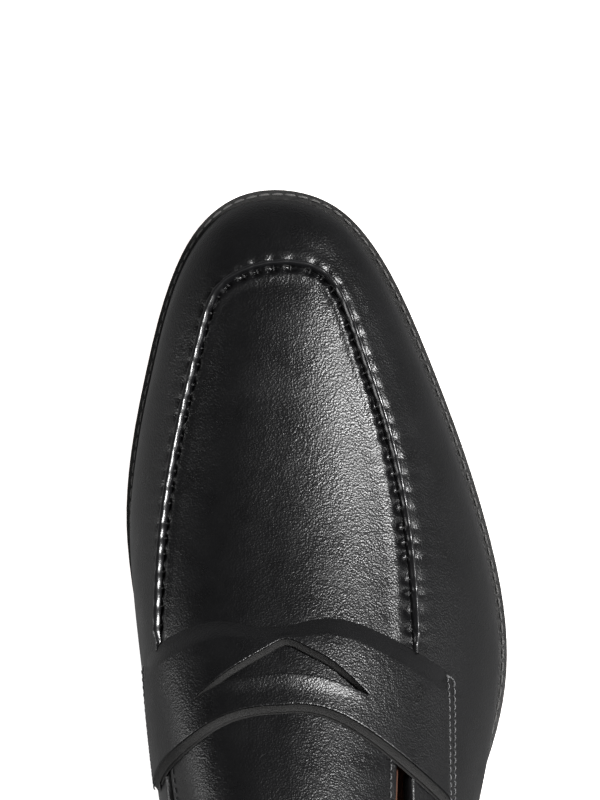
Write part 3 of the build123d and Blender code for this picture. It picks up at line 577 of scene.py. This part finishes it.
def seam_beat(q):
    """Stitch count at q along the apron seam: whole numbers lie at the stitches."""
    beat = np.interp(q, seam_dense, seam_way) / seam_way[-1] * STITCHES
    return beat + uneven(beat)


def q_of_beat(beat):
    dense_beat = seam_beat(seam_dense)
    return np.interp(beat, dense_beat, seam_dense)


def seam_fade(q):
    return np.clip((q - SEAM_FROM) / 4, 0, 1) * np.clip((SEAM_TO - q) / 4, 0, 1)


def pull(q, shape=4.0):
    """Depth of the dents the stitches pull, 1 at a stitch and 0 midway."""
    return np.maximum(0.5 + 0.5 * np.cos(2 * np.pi * seam_beat(q)), 0) ** shape


# ---------------------------------------------------------------- upper
JOIN_INNER, JOIN_OUTER, JOIN_SLANT = 141.0, 536.0, 12.0
LAP, LAP_HEIGHT, LAP_RISE = 3.0, 1.15, 4.5
BACK_CUT = 0.25


def skin_wave(q, k, size):
    """Slight unevenness of lasted leather."""
    size = size * np.clip(k / 0.25, 0, 1) ** 2
    return size * (np.sin(q * 0.21 + 5 * k) * np.sin(k * 17 + q * 0.047)
                   + 0.6 * np.sin(q * 0.093 - 9 * k + 1.3))


def wall_shape(q, k, edge_k):
    """Outward shift of the wall: dents below the seam and small creases from them."""
    below = (k - edge_k) * MM_PER_K
    beat = seam_beat(q)
    dents = -0.32 * pull(q, 1.5) * strong(beat) * bell(below, 1.0, 1.3)
    roll = 0.20 * bell(below, 3.0, 2.0)
    pleats = -0.07 * np.cos(2 * np.pi * beat) * strong(beat) * np.exp(-below / 3.5)
    return (dents + pleats + roll) * seam_fade(q) + skin_wave(q, k, 0.05)


def build_wall():
    columns, rows = 1150, 58
    share = np.linspace(0, 1, columns)[:, None]
    fall = 1 - (1 - np.linspace(0, 1, rows))[None, :] ** 1.35
    fall = fall * 0.55 + 0.45 * np.linspace(0, 1, rows)[None, :] ** 1.6
    q = JOIN_INNER + (JOIN_OUTER - JOIN_INNER) * share + JOIN_SLANT * fall * (2 * share - 1)
    k_top = rim(q)
    k = k_top + (k_at_height(q, WALL_FOOT) - k_top) * fall
    shift = wall_shape(q, k, k_top)
    wall = add_sheet("vamp_wall_leather", on_skin(q, k, shift), on_skin(q, k, shift - UPPER), CALF)
    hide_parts("vamp_wall")


def build_quarter(inner):
    columns, rows = 300, 50
    share = edged(columns)[:, None]
    fall = edged(rows)[None, :]
    if inner:
        q_from, q_to = BACK_CUT, JOIN_INNER + LAP
        slide = -JOIN_SLANT * share * fall
    else:
        q_from, q_to = JOIN_OUTER - LAP, ROUND - BACK_CUT
        slide = JOIN_SLANT * (1 - share) * fall
    q = q_from + (q_to - q_from) * share + slide
    join = JOIN_INNER - JOIN_SLANT * fall if inner else JOIN_OUTER + JOIN_SLANT * fall
    ahead = (q - join) if inner else (join - q)
    k_top = rim(q)
    k = k_top + (k_at_height(q, WALL_FOOT) - k_top) * fall
    lift = LAP_HEIGHT * eased(np.clip((ahead + LAP_RISE) / LAP_RISE, 0, 1))
    front = (1 - share) * (q_to - q_from) if inner else share * (q_to - q_from)
    stitch = -0.12 * (bell(ahead, -0.2, 0.5) + bell(ahead, 1.6, 0.5))
    outer = lift + skin_wave(q, k, 0.05) + stitch - rounded(front, 0.7)
    thick = np.where(ahead > -0.4, 1.0, UPPER)
    piece = add_sheet("quarter_inner_leather" if inner else "quarter_outer_leather",
                      on_skin(q, k, outer), on_skin(q, k, lift - thick), CALF)
    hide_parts("quarter_inner" if inner else "quarter_outer")


# Apron
TONGUE_SIDES = (-0.58, 0.373)
hang_y = curve([-0.60, -0.30, 0, 0.2, 0.44], [-5, 7, 12, 9, -4])


def sideways(columns):
    even = np.linspace(-1, 1, columns)
    return np.sign(even) * np.abs(even) ** 1.5


HANG_GAP, LINING_HANG_GAP = 3.0, 5.0


def apron_plan(inset, across, deep, gap=HANG_GAP):
    q_left = np.linspace(q_across(-1, hang_y(-0.6) + gap), 309, deep)
    q_right = np.linspace(q_across(1, hang_y(0.44) + gap), 360, deep)
    q_front = np.linspace(309, 360, across)
    left = skin(q_left, rim(q_left) - inset)[:, :2]
    right = skin(q_right, rim(q_right) - inset)[:, :2]
    front = skin(q_front, rim(q_front) - inset)[:, :2]
    ends = rim(q_left[0]) - inset, rim(q_right[0]) - inset
    signed = sideways(across)
    signed = np.where(signed < 0, ends[0], ends[1]) * signed
    back = skin(q_across(signed, hang_y(signed) + gap), np.abs(signed))[..., :2]
    left[0], right[0] = back[0], back[-1]
    u = np.linspace(0, 1, across)[:, None, None]
    v = np.linspace(0, 1, deep)[None, :, None]
    plan = (1 - v) * back[:, None] + v * front[:, None] + (1 - u) * left[None] + u * right[None]
    plan = plan - (1 - u) * (1 - v) * back[0] - u * (1 - v) * back[-1]
    return plan - (1 - u) * v * front[0] - u * v * front[-1]


def apron_shape(q, k):
    """The apron dips at every stitch along its edge and swells between them."""
    inside = (rim(q) - k) * MM_PER_K
    beat = seam_beat(q)
    along = seam_fade(q)
    dents = -0.80 * pull(q, 1.2) * strong(beat) * bell(inside, 1.5, 1.0)
    swell = 0.45 * bell(inside, 3.2, 1.5)
    pleats = -0.05 * np.cos(2 * np.pi * beat) * np.exp(-inside / 3.0)
    return (dents + swell + pleats) * along + skin_wave(q, k, 0.035)


def build_apron():
    plan = apron_plan(0.002, 181, 560)
    q, k = locate(plan[..., 0], plan[..., 1])
    shift = apron_shape(q, k)
    piece = add_sheet("apron_leather", on_skin(q, k, shift), on_skin(q, k, 0 * q - UPPER), CALF)
    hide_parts("apron")
    plan = apron_plan(0.04, 41, 60, LINING_HANG_GAP)
    q, k = locate(plan[..., 0], plan[..., 1])
    flat = 0 * q
    lining = add_sheet("apron_lining_leather", on_skin(q, k, flat - LINING_OUT),
                       on_skin(q, k, flat - LINING_IN), LINING_BROWN)
    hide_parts("apron_lining")


def build_bead():
    """Raised rounded seam, pinched where each stitch passes."""
    q = np.linspace(SEAM_FROM - 2, SEAM_TO + 2, 1300)[:, None]
    angle = np.linspace(-np.pi / 2 - 0.5, np.pi / 2 + 0.5, 17)[None, :]
    beat = seam_beat(q)
    pinch = pull(q, 1.5) * strong(beat)
    half = BEAD_HALF * (1.04 - 0.16 * pinch)
    crown = BEAD_HEIGHT * (1.04 - 0.05 * pinch) - 0.20
    sink = 1 - np.clip((q - SEAM_FROM) / 3, 0, 1) * np.clip((SEAM_TO - q) / 3, 0, 1)
    side = 0.12 + half * np.sin(angle)
    out = 0.30 + crown * np.cos(angle) - 0.9 * sink
    k = rim(q) + 0 * angle
    q_grid = q + 0 * angle
    outer = on_skin(q_grid, k, out, side)
    inner = on_skin(q_grid, k, np.full(out.shape, -0.35) - 0.9 * sink, side * 0.5)
    piece = add_sheet("apron_seam_ridge", outer, inner, POLISHED_CALF, smooth_angle=60)
    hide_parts("apron_seam_bead")


def build_apron_threads():
    """Thread dives from the ridge into both leathers at every stitch."""
    q = q_of_beat(np.arange(1, STITCHES))
    paths = []
    for side in (-1, 1):
        reach = np.linspace(0, 1, 6)[None, :]
        q_line = q[:, None] + side * 0.25 * reach
        across = side * (BEAD_HALF * 0.80 + reach * 1.0)
        height = 0.55 * (1 - reach) ** 1.3 - 0.75 * reach - 0.15
        paths.append(on_skin(q_line, rim(q_line), height, across))
    add_threads("apron_seam_threads", np.concatenate(paths), DARK_THREAD, 0.22,
                node="apron_stitches")


# Tongue
TONGUE_END = -36.0
TONGUE_HALF_WIDTH, TONGUE_LENGTH = 40, 46
TONGUE_CORNER = 9


def tongue_grid(trim, across, deep):
    share = sideways(across)[:, None]
    way = np.linspace(0, 1, deep)[None, :]
    side = np.where(share < 0, -TONGUE_SIDES[0] - abs(trim), TONGUE_SIDES[1] - trim)
    signed = share * side
    y_end = TONGUE_END + TONGUE_CORNER * np.abs(share) ** 4 + 40 * trim
    y = hang_y(signed) + (y_end - hang_y(signed)) * way
    return q_across(signed, y), np.abs(signed) + 0 * way, share + 0 * way, way + 0 * share


def build_tongue():
    q, k, share, way = tongue_grid(0, 161, 120)
    side_gap = (1 - np.abs(share)) * TONGUE_HALF_WIDTH
    end_gap = (1 - way) * TONGUE_LENGTH
    edge = np.minimum(side_gap, end_gap)
    groove = -0.16 * bell(edge, 2.6, 0.5)
    outer = -rounded(edge, 0.7) + groove + skin_wave(q, k, 0.05)
    tongue = add_sheet("tongue_leather", on_skin(q, k, outer), on_skin(q, k, 0 * q - UPPER), CALF,
                       body="tongue", smooth_angle=60)
    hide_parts("tongue")
    q, k, _, _ = tongue_grid(-0.012, 61, 40)
    lining = add_sheet("tongue_lining_leather", on_skin(q, k, 0 * q - UPPER - GLUE),
                       on_skin(q, k, 0 * q - UPPER - GLUE - LINING), LINING_BROWN, body="tongue")
    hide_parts("tongue_lining")
    paths = []
    for side in TONGUE_SIDES:
        signed = side * 0.93
        y_end = TONGUE_END + TONGUE_CORNER * 0.93**4 + 2
        way = np.linspace(0.1, 1.0, 200)
        y = hang_y(signed) + (y_end - hang_y(signed)) * way
        line = skin(q_across(signed, y), np.full(200, abs(signed)))
        middle = 0.1 + 0.9 * spaced(line, FINE_PITCH)
        half = 0.34 * FINE_PITCH / abs(y_end - hang_y(signed))
        w = middle[:, None] + half * STEP
        y = hang_y(signed) + (y_end - hang_y(signed)) * w
        lift = 0.16 - 0.35 * DIVE + 0 * w
        paths.append(on_skin(q_across(signed, y), np.full(w.shape, abs(signed)), lift))
    add_threads("tongue_edge_threads", np.concatenate(paths), GLINT_PAINTED_THREAD, 0.2, "tongue",
                "tongue_stitches")


# Strap
strap_front = curve([-1, -0.77, -0.34, -0.175, 0, 0.17, 0.29, 0.52, 0.77, 1],
                    [20.2, 24.7, 31.2, 32.1, 30.6, 32.5, 32.9, 29.4, 23.2, 16.9])
strap_rear = curve([-1, -0.77, -0.565, -0.38, -0.12, 0.07, 0.244, 0.46, 0.70, 1],
                   [-15.5, -8.9, -4.1, 0.5, 6.4, 8.0, 6.6, 0.4, -9.4, -21])
strap_end_inner = curve([-20, 0, 17], [0.80, 0.765, 0.725])
strap_end_outer = curve([-21, -6, 17], [0.624, 0.589, 0.558])
STRAP, BACKING, STRAP_LOW = 1.4, 0.65, 0.15
STITCH_ROWS = (0.012, 0.062)
ROW_FROM, ROW_SPAN = 0.05, 0.935
SLIT_FROM, SLIT_TO = -32.2, 12.4
SLIT_FRONT = curve([-32.2, -26, -19.6, -13.0, -9.0, -3.0, 2.0, 6.9, 12.4],
                   [10.9, 15.9, 20.0, 23.7, 25.5, 23.3, 20.7, 17.1, 12.2])
SLIT_REAR = curve([-32.2, -26, -17.5, -9.7, -3.0, 6.9, 12.4],
                  [10.3, 14.4, 16.5, 17.1, 16.7, 14.1, 11.7])


def strap_at(share, way):
    share, way = np.broadcast_arrays(share, way)
    y = strap_front(share) + (strap_rear(share) - strap_front(share)) * way
    end = np.where(share < 0, strap_end_inner(y), strap_end_outer(y))
    return q_across(np.where(share < 0, -1, 1), y), np.abs(share) * end


def strap_lift(share, way):
    """Rise of the strap over its backing, none along the thin edges."""
    front = np.clip(way / 0.20, 0, 1)
    ends = np.clip((1 - np.abs(share)) / 0.10, 0, 1)
    reach = np.minimum(front, ends)
    return (BACKING + GLUE) * eased(reach)


def slit_ways(share):
    """Front and rear edge of the slit as fractions across the strap."""
    way_front, way_rear = np.full(share.shape, 0.55), np.full(share.shape, 0.55)
    sample = np.linspace(0, 1, 240)
    for i, s in enumerate(share):
        q, k = strap_at(np.full(240, s), sample)
        spot = skin(q, k)
        for ways, line in ((way_front, SLIT_FRONT), (way_rear, SLIT_REAR)):
            x = np.clip(spot[:, 0], SLIT_FROM, SLIT_TO)
            ways[i] = np.interp(0, (line(x) - spot[:, 1]), sample)
    q, k = strap_at(share, (way_front + way_rear) / 2)
    x = skin(q, k)[:, 0]
    inside = (x > SLIT_FROM) & (x < SLIT_TO)
    middle = (way_front + way_rear) / 2
    return np.where(inside, way_front, middle), np.where(inside, way_rear, middle), inside


def strap_sheet(low_of, thick_of, share, rows, front_at, rear_at, round_edge, slant=0.0):
    """Sheet with a slit: two strips of rows that share their points outside the slit."""
    way_front, way_rear, inside = slit_ways(share)
    outer, inner, faces = [], [], []
    count = len(share)
    for part in (0, 1):
        v = edged(rows)[None, :]
        if part == 0:
            way = front_at + (way_front[:, None] - front_at) * v
        else:
            way = way_rear[:, None] + (rear_at - way_rear[:, None]) * v
        s = share[:, None] + 0 * way
        q, k = strap_at(s, way)
        point = skin(q, k)
        gap_front = np.linalg.norm(point - point[:, :1], axis=-1)
        gap_rear = np.linalg.norm(point - point[:, -1:], axis=-1)
        open_side = inside[:, None]
        if part == 0:
            edge = np.where(open_side, np.minimum(gap_front, gap_rear), gap_front)
        else:
            edge = np.where(open_side, np.minimum(gap_front, gap_rear), gap_rear)
        ends = np.minimum(np.linalg.norm(point - point[:1], axis=-1),
                          np.linalg.norm(point - point[-1:], axis=-1))
        low, thick = low_of(s, way), thick_of(s, way)
        middle_of_slit = np.clip((point[..., 0] - SLIT_FROM) / (SLIT_TO - SLIT_FROM), 0, 1)
        wide_open = np.sin(np.pi * middle_of_slit) ** 0.7
        if part == 1:
            low = low + 0.9 * wide_open * bell(gap_front, 0, 3.0)
        top = low + thick - np.minimum(rounded(np.minimum(edge, ends), round_edge), thick * 0.6)
        top = top + skin_wave(q, k, 0.05)
        if part == 0:
            cut = way - open_side * slant * wide_open * bell(gap_rear, 0, 2.5)
        else:
            cut = way - slant * 1.1 * bell(gap_rear, 0, 2.5)
        q_cut, k_cut = strap_at(s, np.clip(cut, 0, 1))
        outer.append(on_skin(q_cut, k_cut, top).reshape(-1, 3))
        inner.append(on_skin(q, k, low).reshape(-1, 3))
        faces.append(grid_faces(count, v.shape[1], part * count * v.shape[1]))
    columns = outer[0].shape[0] // count
    outer, inner = np.concatenate(outer), np.concatenate(inner)
    faces = np.concatenate(faces)
    merge = np.arange(len(outer))
    for i in np.flatnonzero(~inside):
        merge[count * columns + i * columns] = i * columns + columns - 1
    faces = merge[faces]
    return *thick_points(outer, inner, faces), 2 * len(faces)


def build_strap():
    share = np.unique(np.concatenate([sideways(321), 1 - np.array([0.002, 0.005, 0.01]),
                                      -1 + np.array([0.002, 0.005, 0.01])]))

    def low(s, w):
        return STRAP_LOW + strap_lift(s, w)

    def thick(s, w):
        pad = 0.35 * np.clip(w / 0.3, 0, 1) * np.clip((1 - np.abs(s)) / 0.25, 0, 1)
        rows = 0.0
        for inset in STITCH_ROWS:
            rows = rows - 0.14 * bell(1 - np.abs(s), inset, 0.008)
        return STRAP - 1.05 * np.clip(1 - w / 0.20, 0, 1) + pad + rows

    points, faces, edges = strap_sheet(low, thick, share, 44, 0.0, 1.0, 0.4, 0.045)
    strap = add_mesh("saddle_strap_leather", points, faces, CALF, smooth_angle=50,
                     edge_from=edges, edge_look=CALF_EDGE)
    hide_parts("saddle_strap")
    share = 0.9 * sideways(161)
    points, faces, _ = strap_sheet(lambda s, w: STRAP_LOW + 0 * s, lambda s, w: BACKING + 0 * s,
                                   share, 24, 0.21, 1.012, 0.3)
    backing = add_mesh("strap_backing_leather", points, faces, CALF_EDGE, smooth_angle=50)
    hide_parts("strap_backing")
    for sign, node in ((-1, "strap_stitches_inner"), (1, "strap_stitches_outer")):
        paths = []
        for inset in STITCH_ROWS:
            way = np.linspace(ROW_FROM, ROW_FROM + ROW_SPAN, 200)
            s = np.full(200, sign * (1 - inset))
            line = skin(*strap_at(s, way))
            length = np.linalg.norm(np.diff(line, axis=0), axis=1).sum()
            middle = ROW_FROM + ROW_SPAN * spaced(line, STRAP_PITCH)
            half = 0.40 * STRAP_PITCH / length * ROW_SPAN
            w = middle[:, None] + half * STEP
            s = np.full(w.shape, sign * (1 - inset))
            q, k = strap_at(s, w)
            height = STRAP_LOW + strap_lift(s, w) + STRAP + 0.12 - 0.30 * DIVE
            paths.append(on_skin(q, k, height))
        cross = np.linspace(*STITCH_ROWS, 5)[None, :]
        s = sign * (1 - cross)
        q, k = strap_at(s, np.full(s.shape, ROW_FROM))
        paths.append(on_skin(q, k, STRAP_LOW + strap_lift(s, 0 * s + ROW_FROM) + STRAP - 0.1))
        add_threads(node + "_threads", np.concatenate(paths), GLINT_PAINTED_THREAD, 0.21, node=node)


# Topline, back strap, linings
BINDING_FRONT_Y = -9.0
BACK_STRAP_TOP, BACK_STRAP_SPREAD = 5.0, 4.0
HEEL_GRIP_HALF, HEEL_GRIP_HEIGHT = 44, 24
LINING_JOINS, LINING_CUT, LINING_BACK_GAP = (131, 547), 0.5, 0.8
WELT_SEAM_FROM, WELT_SEAM_TO, WELT_SEAM_INSET = 118.0, 556.0, 1.2


def build_binding():
    q = np.linspace(q_across(1, BINDING_FRONT_Y) - ROUND, q_across(-1, BINDING_FRONT_Y), 700)[:, None]
    angle = np.linspace(-np.pi / 2, np.pi / 2, 19)[None, :]
    middle, half = -LINING_IN / 2, LINING_IN / 2 + 0.25
    out = middle + half * np.sin(angle) + 0 * q
    up = 1.55 * np.cos(angle) ** 0.8 + 0 * q
    k = rim(q) + 0 * angle
    q = q + 0 * angle
    outer = on_skin(q, k, out, up - 0.25)
    inner = on_skin(q, k, out * 0.96 + middle * 0.04, np.full(out.shape, -0.35))
    piece = add_sheet("topline_rolled_edge", outer, inner, CALF, smooth_angle=60)
    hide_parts("topline_binding")
    first, last = JOIN_OUTER + 4 - ROUND, JOIN_INNER - 4
    dense = np.linspace(first, last, 500)
    middle_q = first + (last - first) * spaced(skin(dense, rim(dense)), FINE_PITCH)
    middle_q = middle_q[np.abs(middle_q) > 7]
    q = middle_q[:, None] + 0.36 * FINE_PITCH * STEP
    height = 0.14 - 0.3 * DIVE + 0 * q
    add_threads("topline_threads", on_skin(q, rim(q), height, 0 * q - 1.6), GLINT_PAINTED_THREAD, 0.2,
                node="topline_stitches")


def build_back_strap():
    share = (2 * edged(34) - 1)[:, None]
    fall = edged(70)[None, :]
    half = BACK_STRAP_TOP + BACK_STRAP_SPREAD * fall
    q = share * half
    k_top = rim(q) + 0.004
    k = k_top + (k_at_height(q, 1.0) - k_top) * fall
    edge = (1 - np.abs(share)) * half
    outer = GLUE + 1.1 - rounded(edge, 0.6) - 0.12 * bell(edge, 1.0, 0.35)
    piece = add_sheet("back_strap_leather", on_skin(q, k, outer), on_skin(q, k, 0 * q - 0.02), CALF,
                      smooth_angle=60)
    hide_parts("back_strap")
    paths = []
    middle = np.linspace(0.04, 0.96, 22)
    for side in (-1, 1):
        f = middle[:, None] + 0.017 * STEP
        q = side * (BACK_STRAP_TOP - 1.0 + BACK_STRAP_SPREAD * f)
        k = rim(q) + (k_at_height(q, 2.0) - rim(q)) * f
        paths.append(on_skin(q, k, GLUE + 1.2 - 0.3 * DIVE + 0 * q))
    add_threads("back_strap_threads", np.concatenate(paths), GLINT_PAINTED_THREAD, 0.2, node="back_strap_stitches")


def build_side_threads():
    paths = []
    for join, slide in ((JOIN_INNER, -1), (JOIN_OUTER, 1)):
        for back in (-1.6, 0.2):
            f = np.linspace(0.10, 0.97, 30)[:, None] + 0.012 * STEP
            q = join + slide * (JOIN_SLANT * f + back)
            k = rim(q) + (k_at_height(q, 0.5) - rim(q)) * f
            paths.append(on_skin(q, k, 1.22 - 0.25 * DIVE + 0 * q))
    add_threads("side_seam_threads", np.concatenate(paths), GLINT_PAINTED_THREAD, 0.2, node="side_seam_stitches")


def build_lining(name, node, q_from, q_to, columns):
    share = np.linspace(0, 1, columns)[:, None]
    fall = 1 - (1 - np.linspace(0, 1, 40))[None, :] ** 1.35
    q = q_from + (q_to - q_from) * share + 0 * fall
    k = rim(q) + (k_at_height(q, BOARD_TOP + GLUE) - rim(q)) * fall
    wave = skin_wave(q, k, 0.04)
    piece = add_sheet(name, on_skin(q, k, 0 * q - LINING_OUT), on_skin(q, k, wave - LINING_IN),
                      LINING_BROWN)
    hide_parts(node)


def build_heel_grip():
    share = (2 * edged(60) - 1)[:, None]
    fall = edged(30)[None, :]
    q = HEEL_GRIP_HALF * share + 0 * fall
    k = rim(q) + 0.03 + (0.24 - 0.10 * share**2) * fall
    edge = np.minimum((1 - np.abs(share)) * HEEL_GRIP_HALF,
                      np.minimum(fall, 1 - fall) * HEEL_GRIP_HEIGHT)
    depth = LINING_IN + GLUE
    piece = add_sheet("heel_grip_suede", on_skin(q, k, 0 * q - depth),
                      on_skin(q, k, rounded(edge, 0.5) - depth - 0.8), SUEDE)
    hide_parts("heel_grip")


def plan_edge(inset, q):
    edge = outline(np.mod(q, ROUND))
    run = outline(np.mod(q + 0.5, ROUND)) - outline(np.mod(q - 0.5, ROUND))
    run /= np.linalg.norm(run, axis=-1, keepdims=True)
    return edge + np.stack([run[..., 1], -run[..., 0]], -1) * inset[..., None]


def build_welt_threads():
    first, last = WELT_SEAM_FROM, WELT_SEAM_TO
    dense = np.linspace(first, last, 500)
    seam = plan_edge(sole_inset(dense) + WELT_SEAM_INSET, dense)
    middle = first + (last - first) * spaced(seam, WELT_PITCH)
    q = middle[:, None] + 0.40 * WELT_PITCH * STEP
    plan = plan_edge(sole_inset(q) + WELT_SEAM_INSET, q)
    z = sole_bottom(plan[..., 1]) + FEATHER + 0.18 - 0.35 * DIVE
    add_threads("welt_seam_threads", np.concatenate([plan, z[..., None]], -1), WELT_THREAD, 0.28,
                node="welt_stitches")


build_wall()
build_quarter(True)
build_quarter(False)
build_apron()
build_bead()
build_apron_threads()
build_tongue()
build_strap()
build_binding()
build_back_strap()
build_side_threads()
build_lining("vamp_lining_leather", "vamp_lining", *LINING_JOINS, 260)
build_lining("quarter_lining_inner_leather", "quarter_lining_inner", LINING_BACK_GAP,
             LINING_JOINS[0] - LINING_CUT, 90)
build_lining("quarter_lining_outer_leather", "quarter_lining_outer", LINING_JOINS[1] + LINING_CUT,
             ROUND - LINING_BACK_GAP, 90)
build_heel_grip()
build_welt_threads()

# ---------------------------------------------------------------- floor, light, camera
FLOOR_HALF, FLOOR_Z, GLOW_Z = 3.0, -0.0006, -0.0016


def plane(name, look_name, height, grey, rough, emission):
    """Level square with a plain material that gives off some light."""
    half = FLOOR_HALF
    corners = [(-half, -half), (half, -half), (half, half), (-half, half)]
    mesh = bpy.data.meshes.new(name)
    mesh.from_pydata([(x, y, height) for x, y in corners], [], [(0, 1, 2, 3)])
    look = bpy.data.materials.new(look_name)
    look.use_nodes = True
    shader = look.node_tree.nodes["Principled BSDF"]
    shader.inputs["Base Color"].default_value = (grey, grey, grey, 1)
    shader.inputs["Roughness"].default_value = rough
    shader.inputs["Emission Color"].default_value = (1, 1, 1, 1)
    shader.inputs["Emission Strength"].default_value = emission
    mesh.materials.append(look)
    square = bpy.data.objects.new(name, mesh)
    bpy.context.collection.objects.link(square)
    return square


# The bright floor is left out of reflections, and a dim plane that only reflections see
# stands in for it, so that the lower wall stays as dark as black leather on paper.
floor = plane("floor", "pale_floor", FLOOR_Z, 0.9, 0.9, 0.9)
floor.visible_glossy = False
glow = plane("floor_glow", "floor_glow", GLOW_Z, 0.0, 0.5, 0.20)
glow.visible_camera = False
glow.visible_diffuse = False
glow.visible_shadow = False


def area_light(name, place, target, size, power, shape_y=None):
    data = bpy.data.lights.new(name, "AREA")
    data.energy = power
    data.size = size
    if shape_y:
        data.shape = "RECTANGLE"
        data.size_y = shape_y
    lamp = bpy.data.objects.new(name, data)
    bpy.context.collection.objects.link(lamp)
    lamp.location = place
    toward = np.array(target) - np.array(place)
    lamp.rotation_euler = Vector(toward).to_track_quat("-Z", "Y").to_euler()


area_light("key_right", (0.80, 0.50, 1.10), (0, 0.06, 0.04), 0.32, 30, 0.36)
area_light("rim_right", (1.1, 0.1, 0.35), (0, 0.05, 0.04), 0.25, 3.0, 1.4)
area_light("rim_left", (-1.1, 0.1, 0.35), (0, 0.05, 0.04), 0.3, 7.0, 1.4)
area_light("top_soft", (-0.3, -0.3, 1.9), (0, 0.05, 0.04), 1.0, 1.2, 1.0)
world = bpy.data.worlds.new("studio")
world.use_nodes = True
world.node_tree.nodes["Background"].inputs["Color"].default_value = (1, 1, 1, 1)
world.node_tree.nodes["Background"].inputs["Strength"].default_value = 0.06
bpy.context.scene.world = world
bpy.context.scene.view_settings.view_transform = "Standard"

CAMERA_HEIGHT = 2.0
VIEW_HEIGHT = 0.22584
SENSOR = 36
camera_data = bpy.data.cameras.new("camera")
camera_data.sensor_fit = "VERTICAL"
camera_data.sensor_height = SENSOR
camera_data.lens = SENSOR * CAMERA_HEIGHT / VIEW_HEIGHT
camera = bpy.data.objects.new("camera", camera_data)
bpy.context.collection.objects.link(camera)
camera.location = (-0.0048, 0.0926, CAMERA_HEIGHT)
camera.rotation_euler = (0, 0, 0)
bpy.context.scene.camera = camera
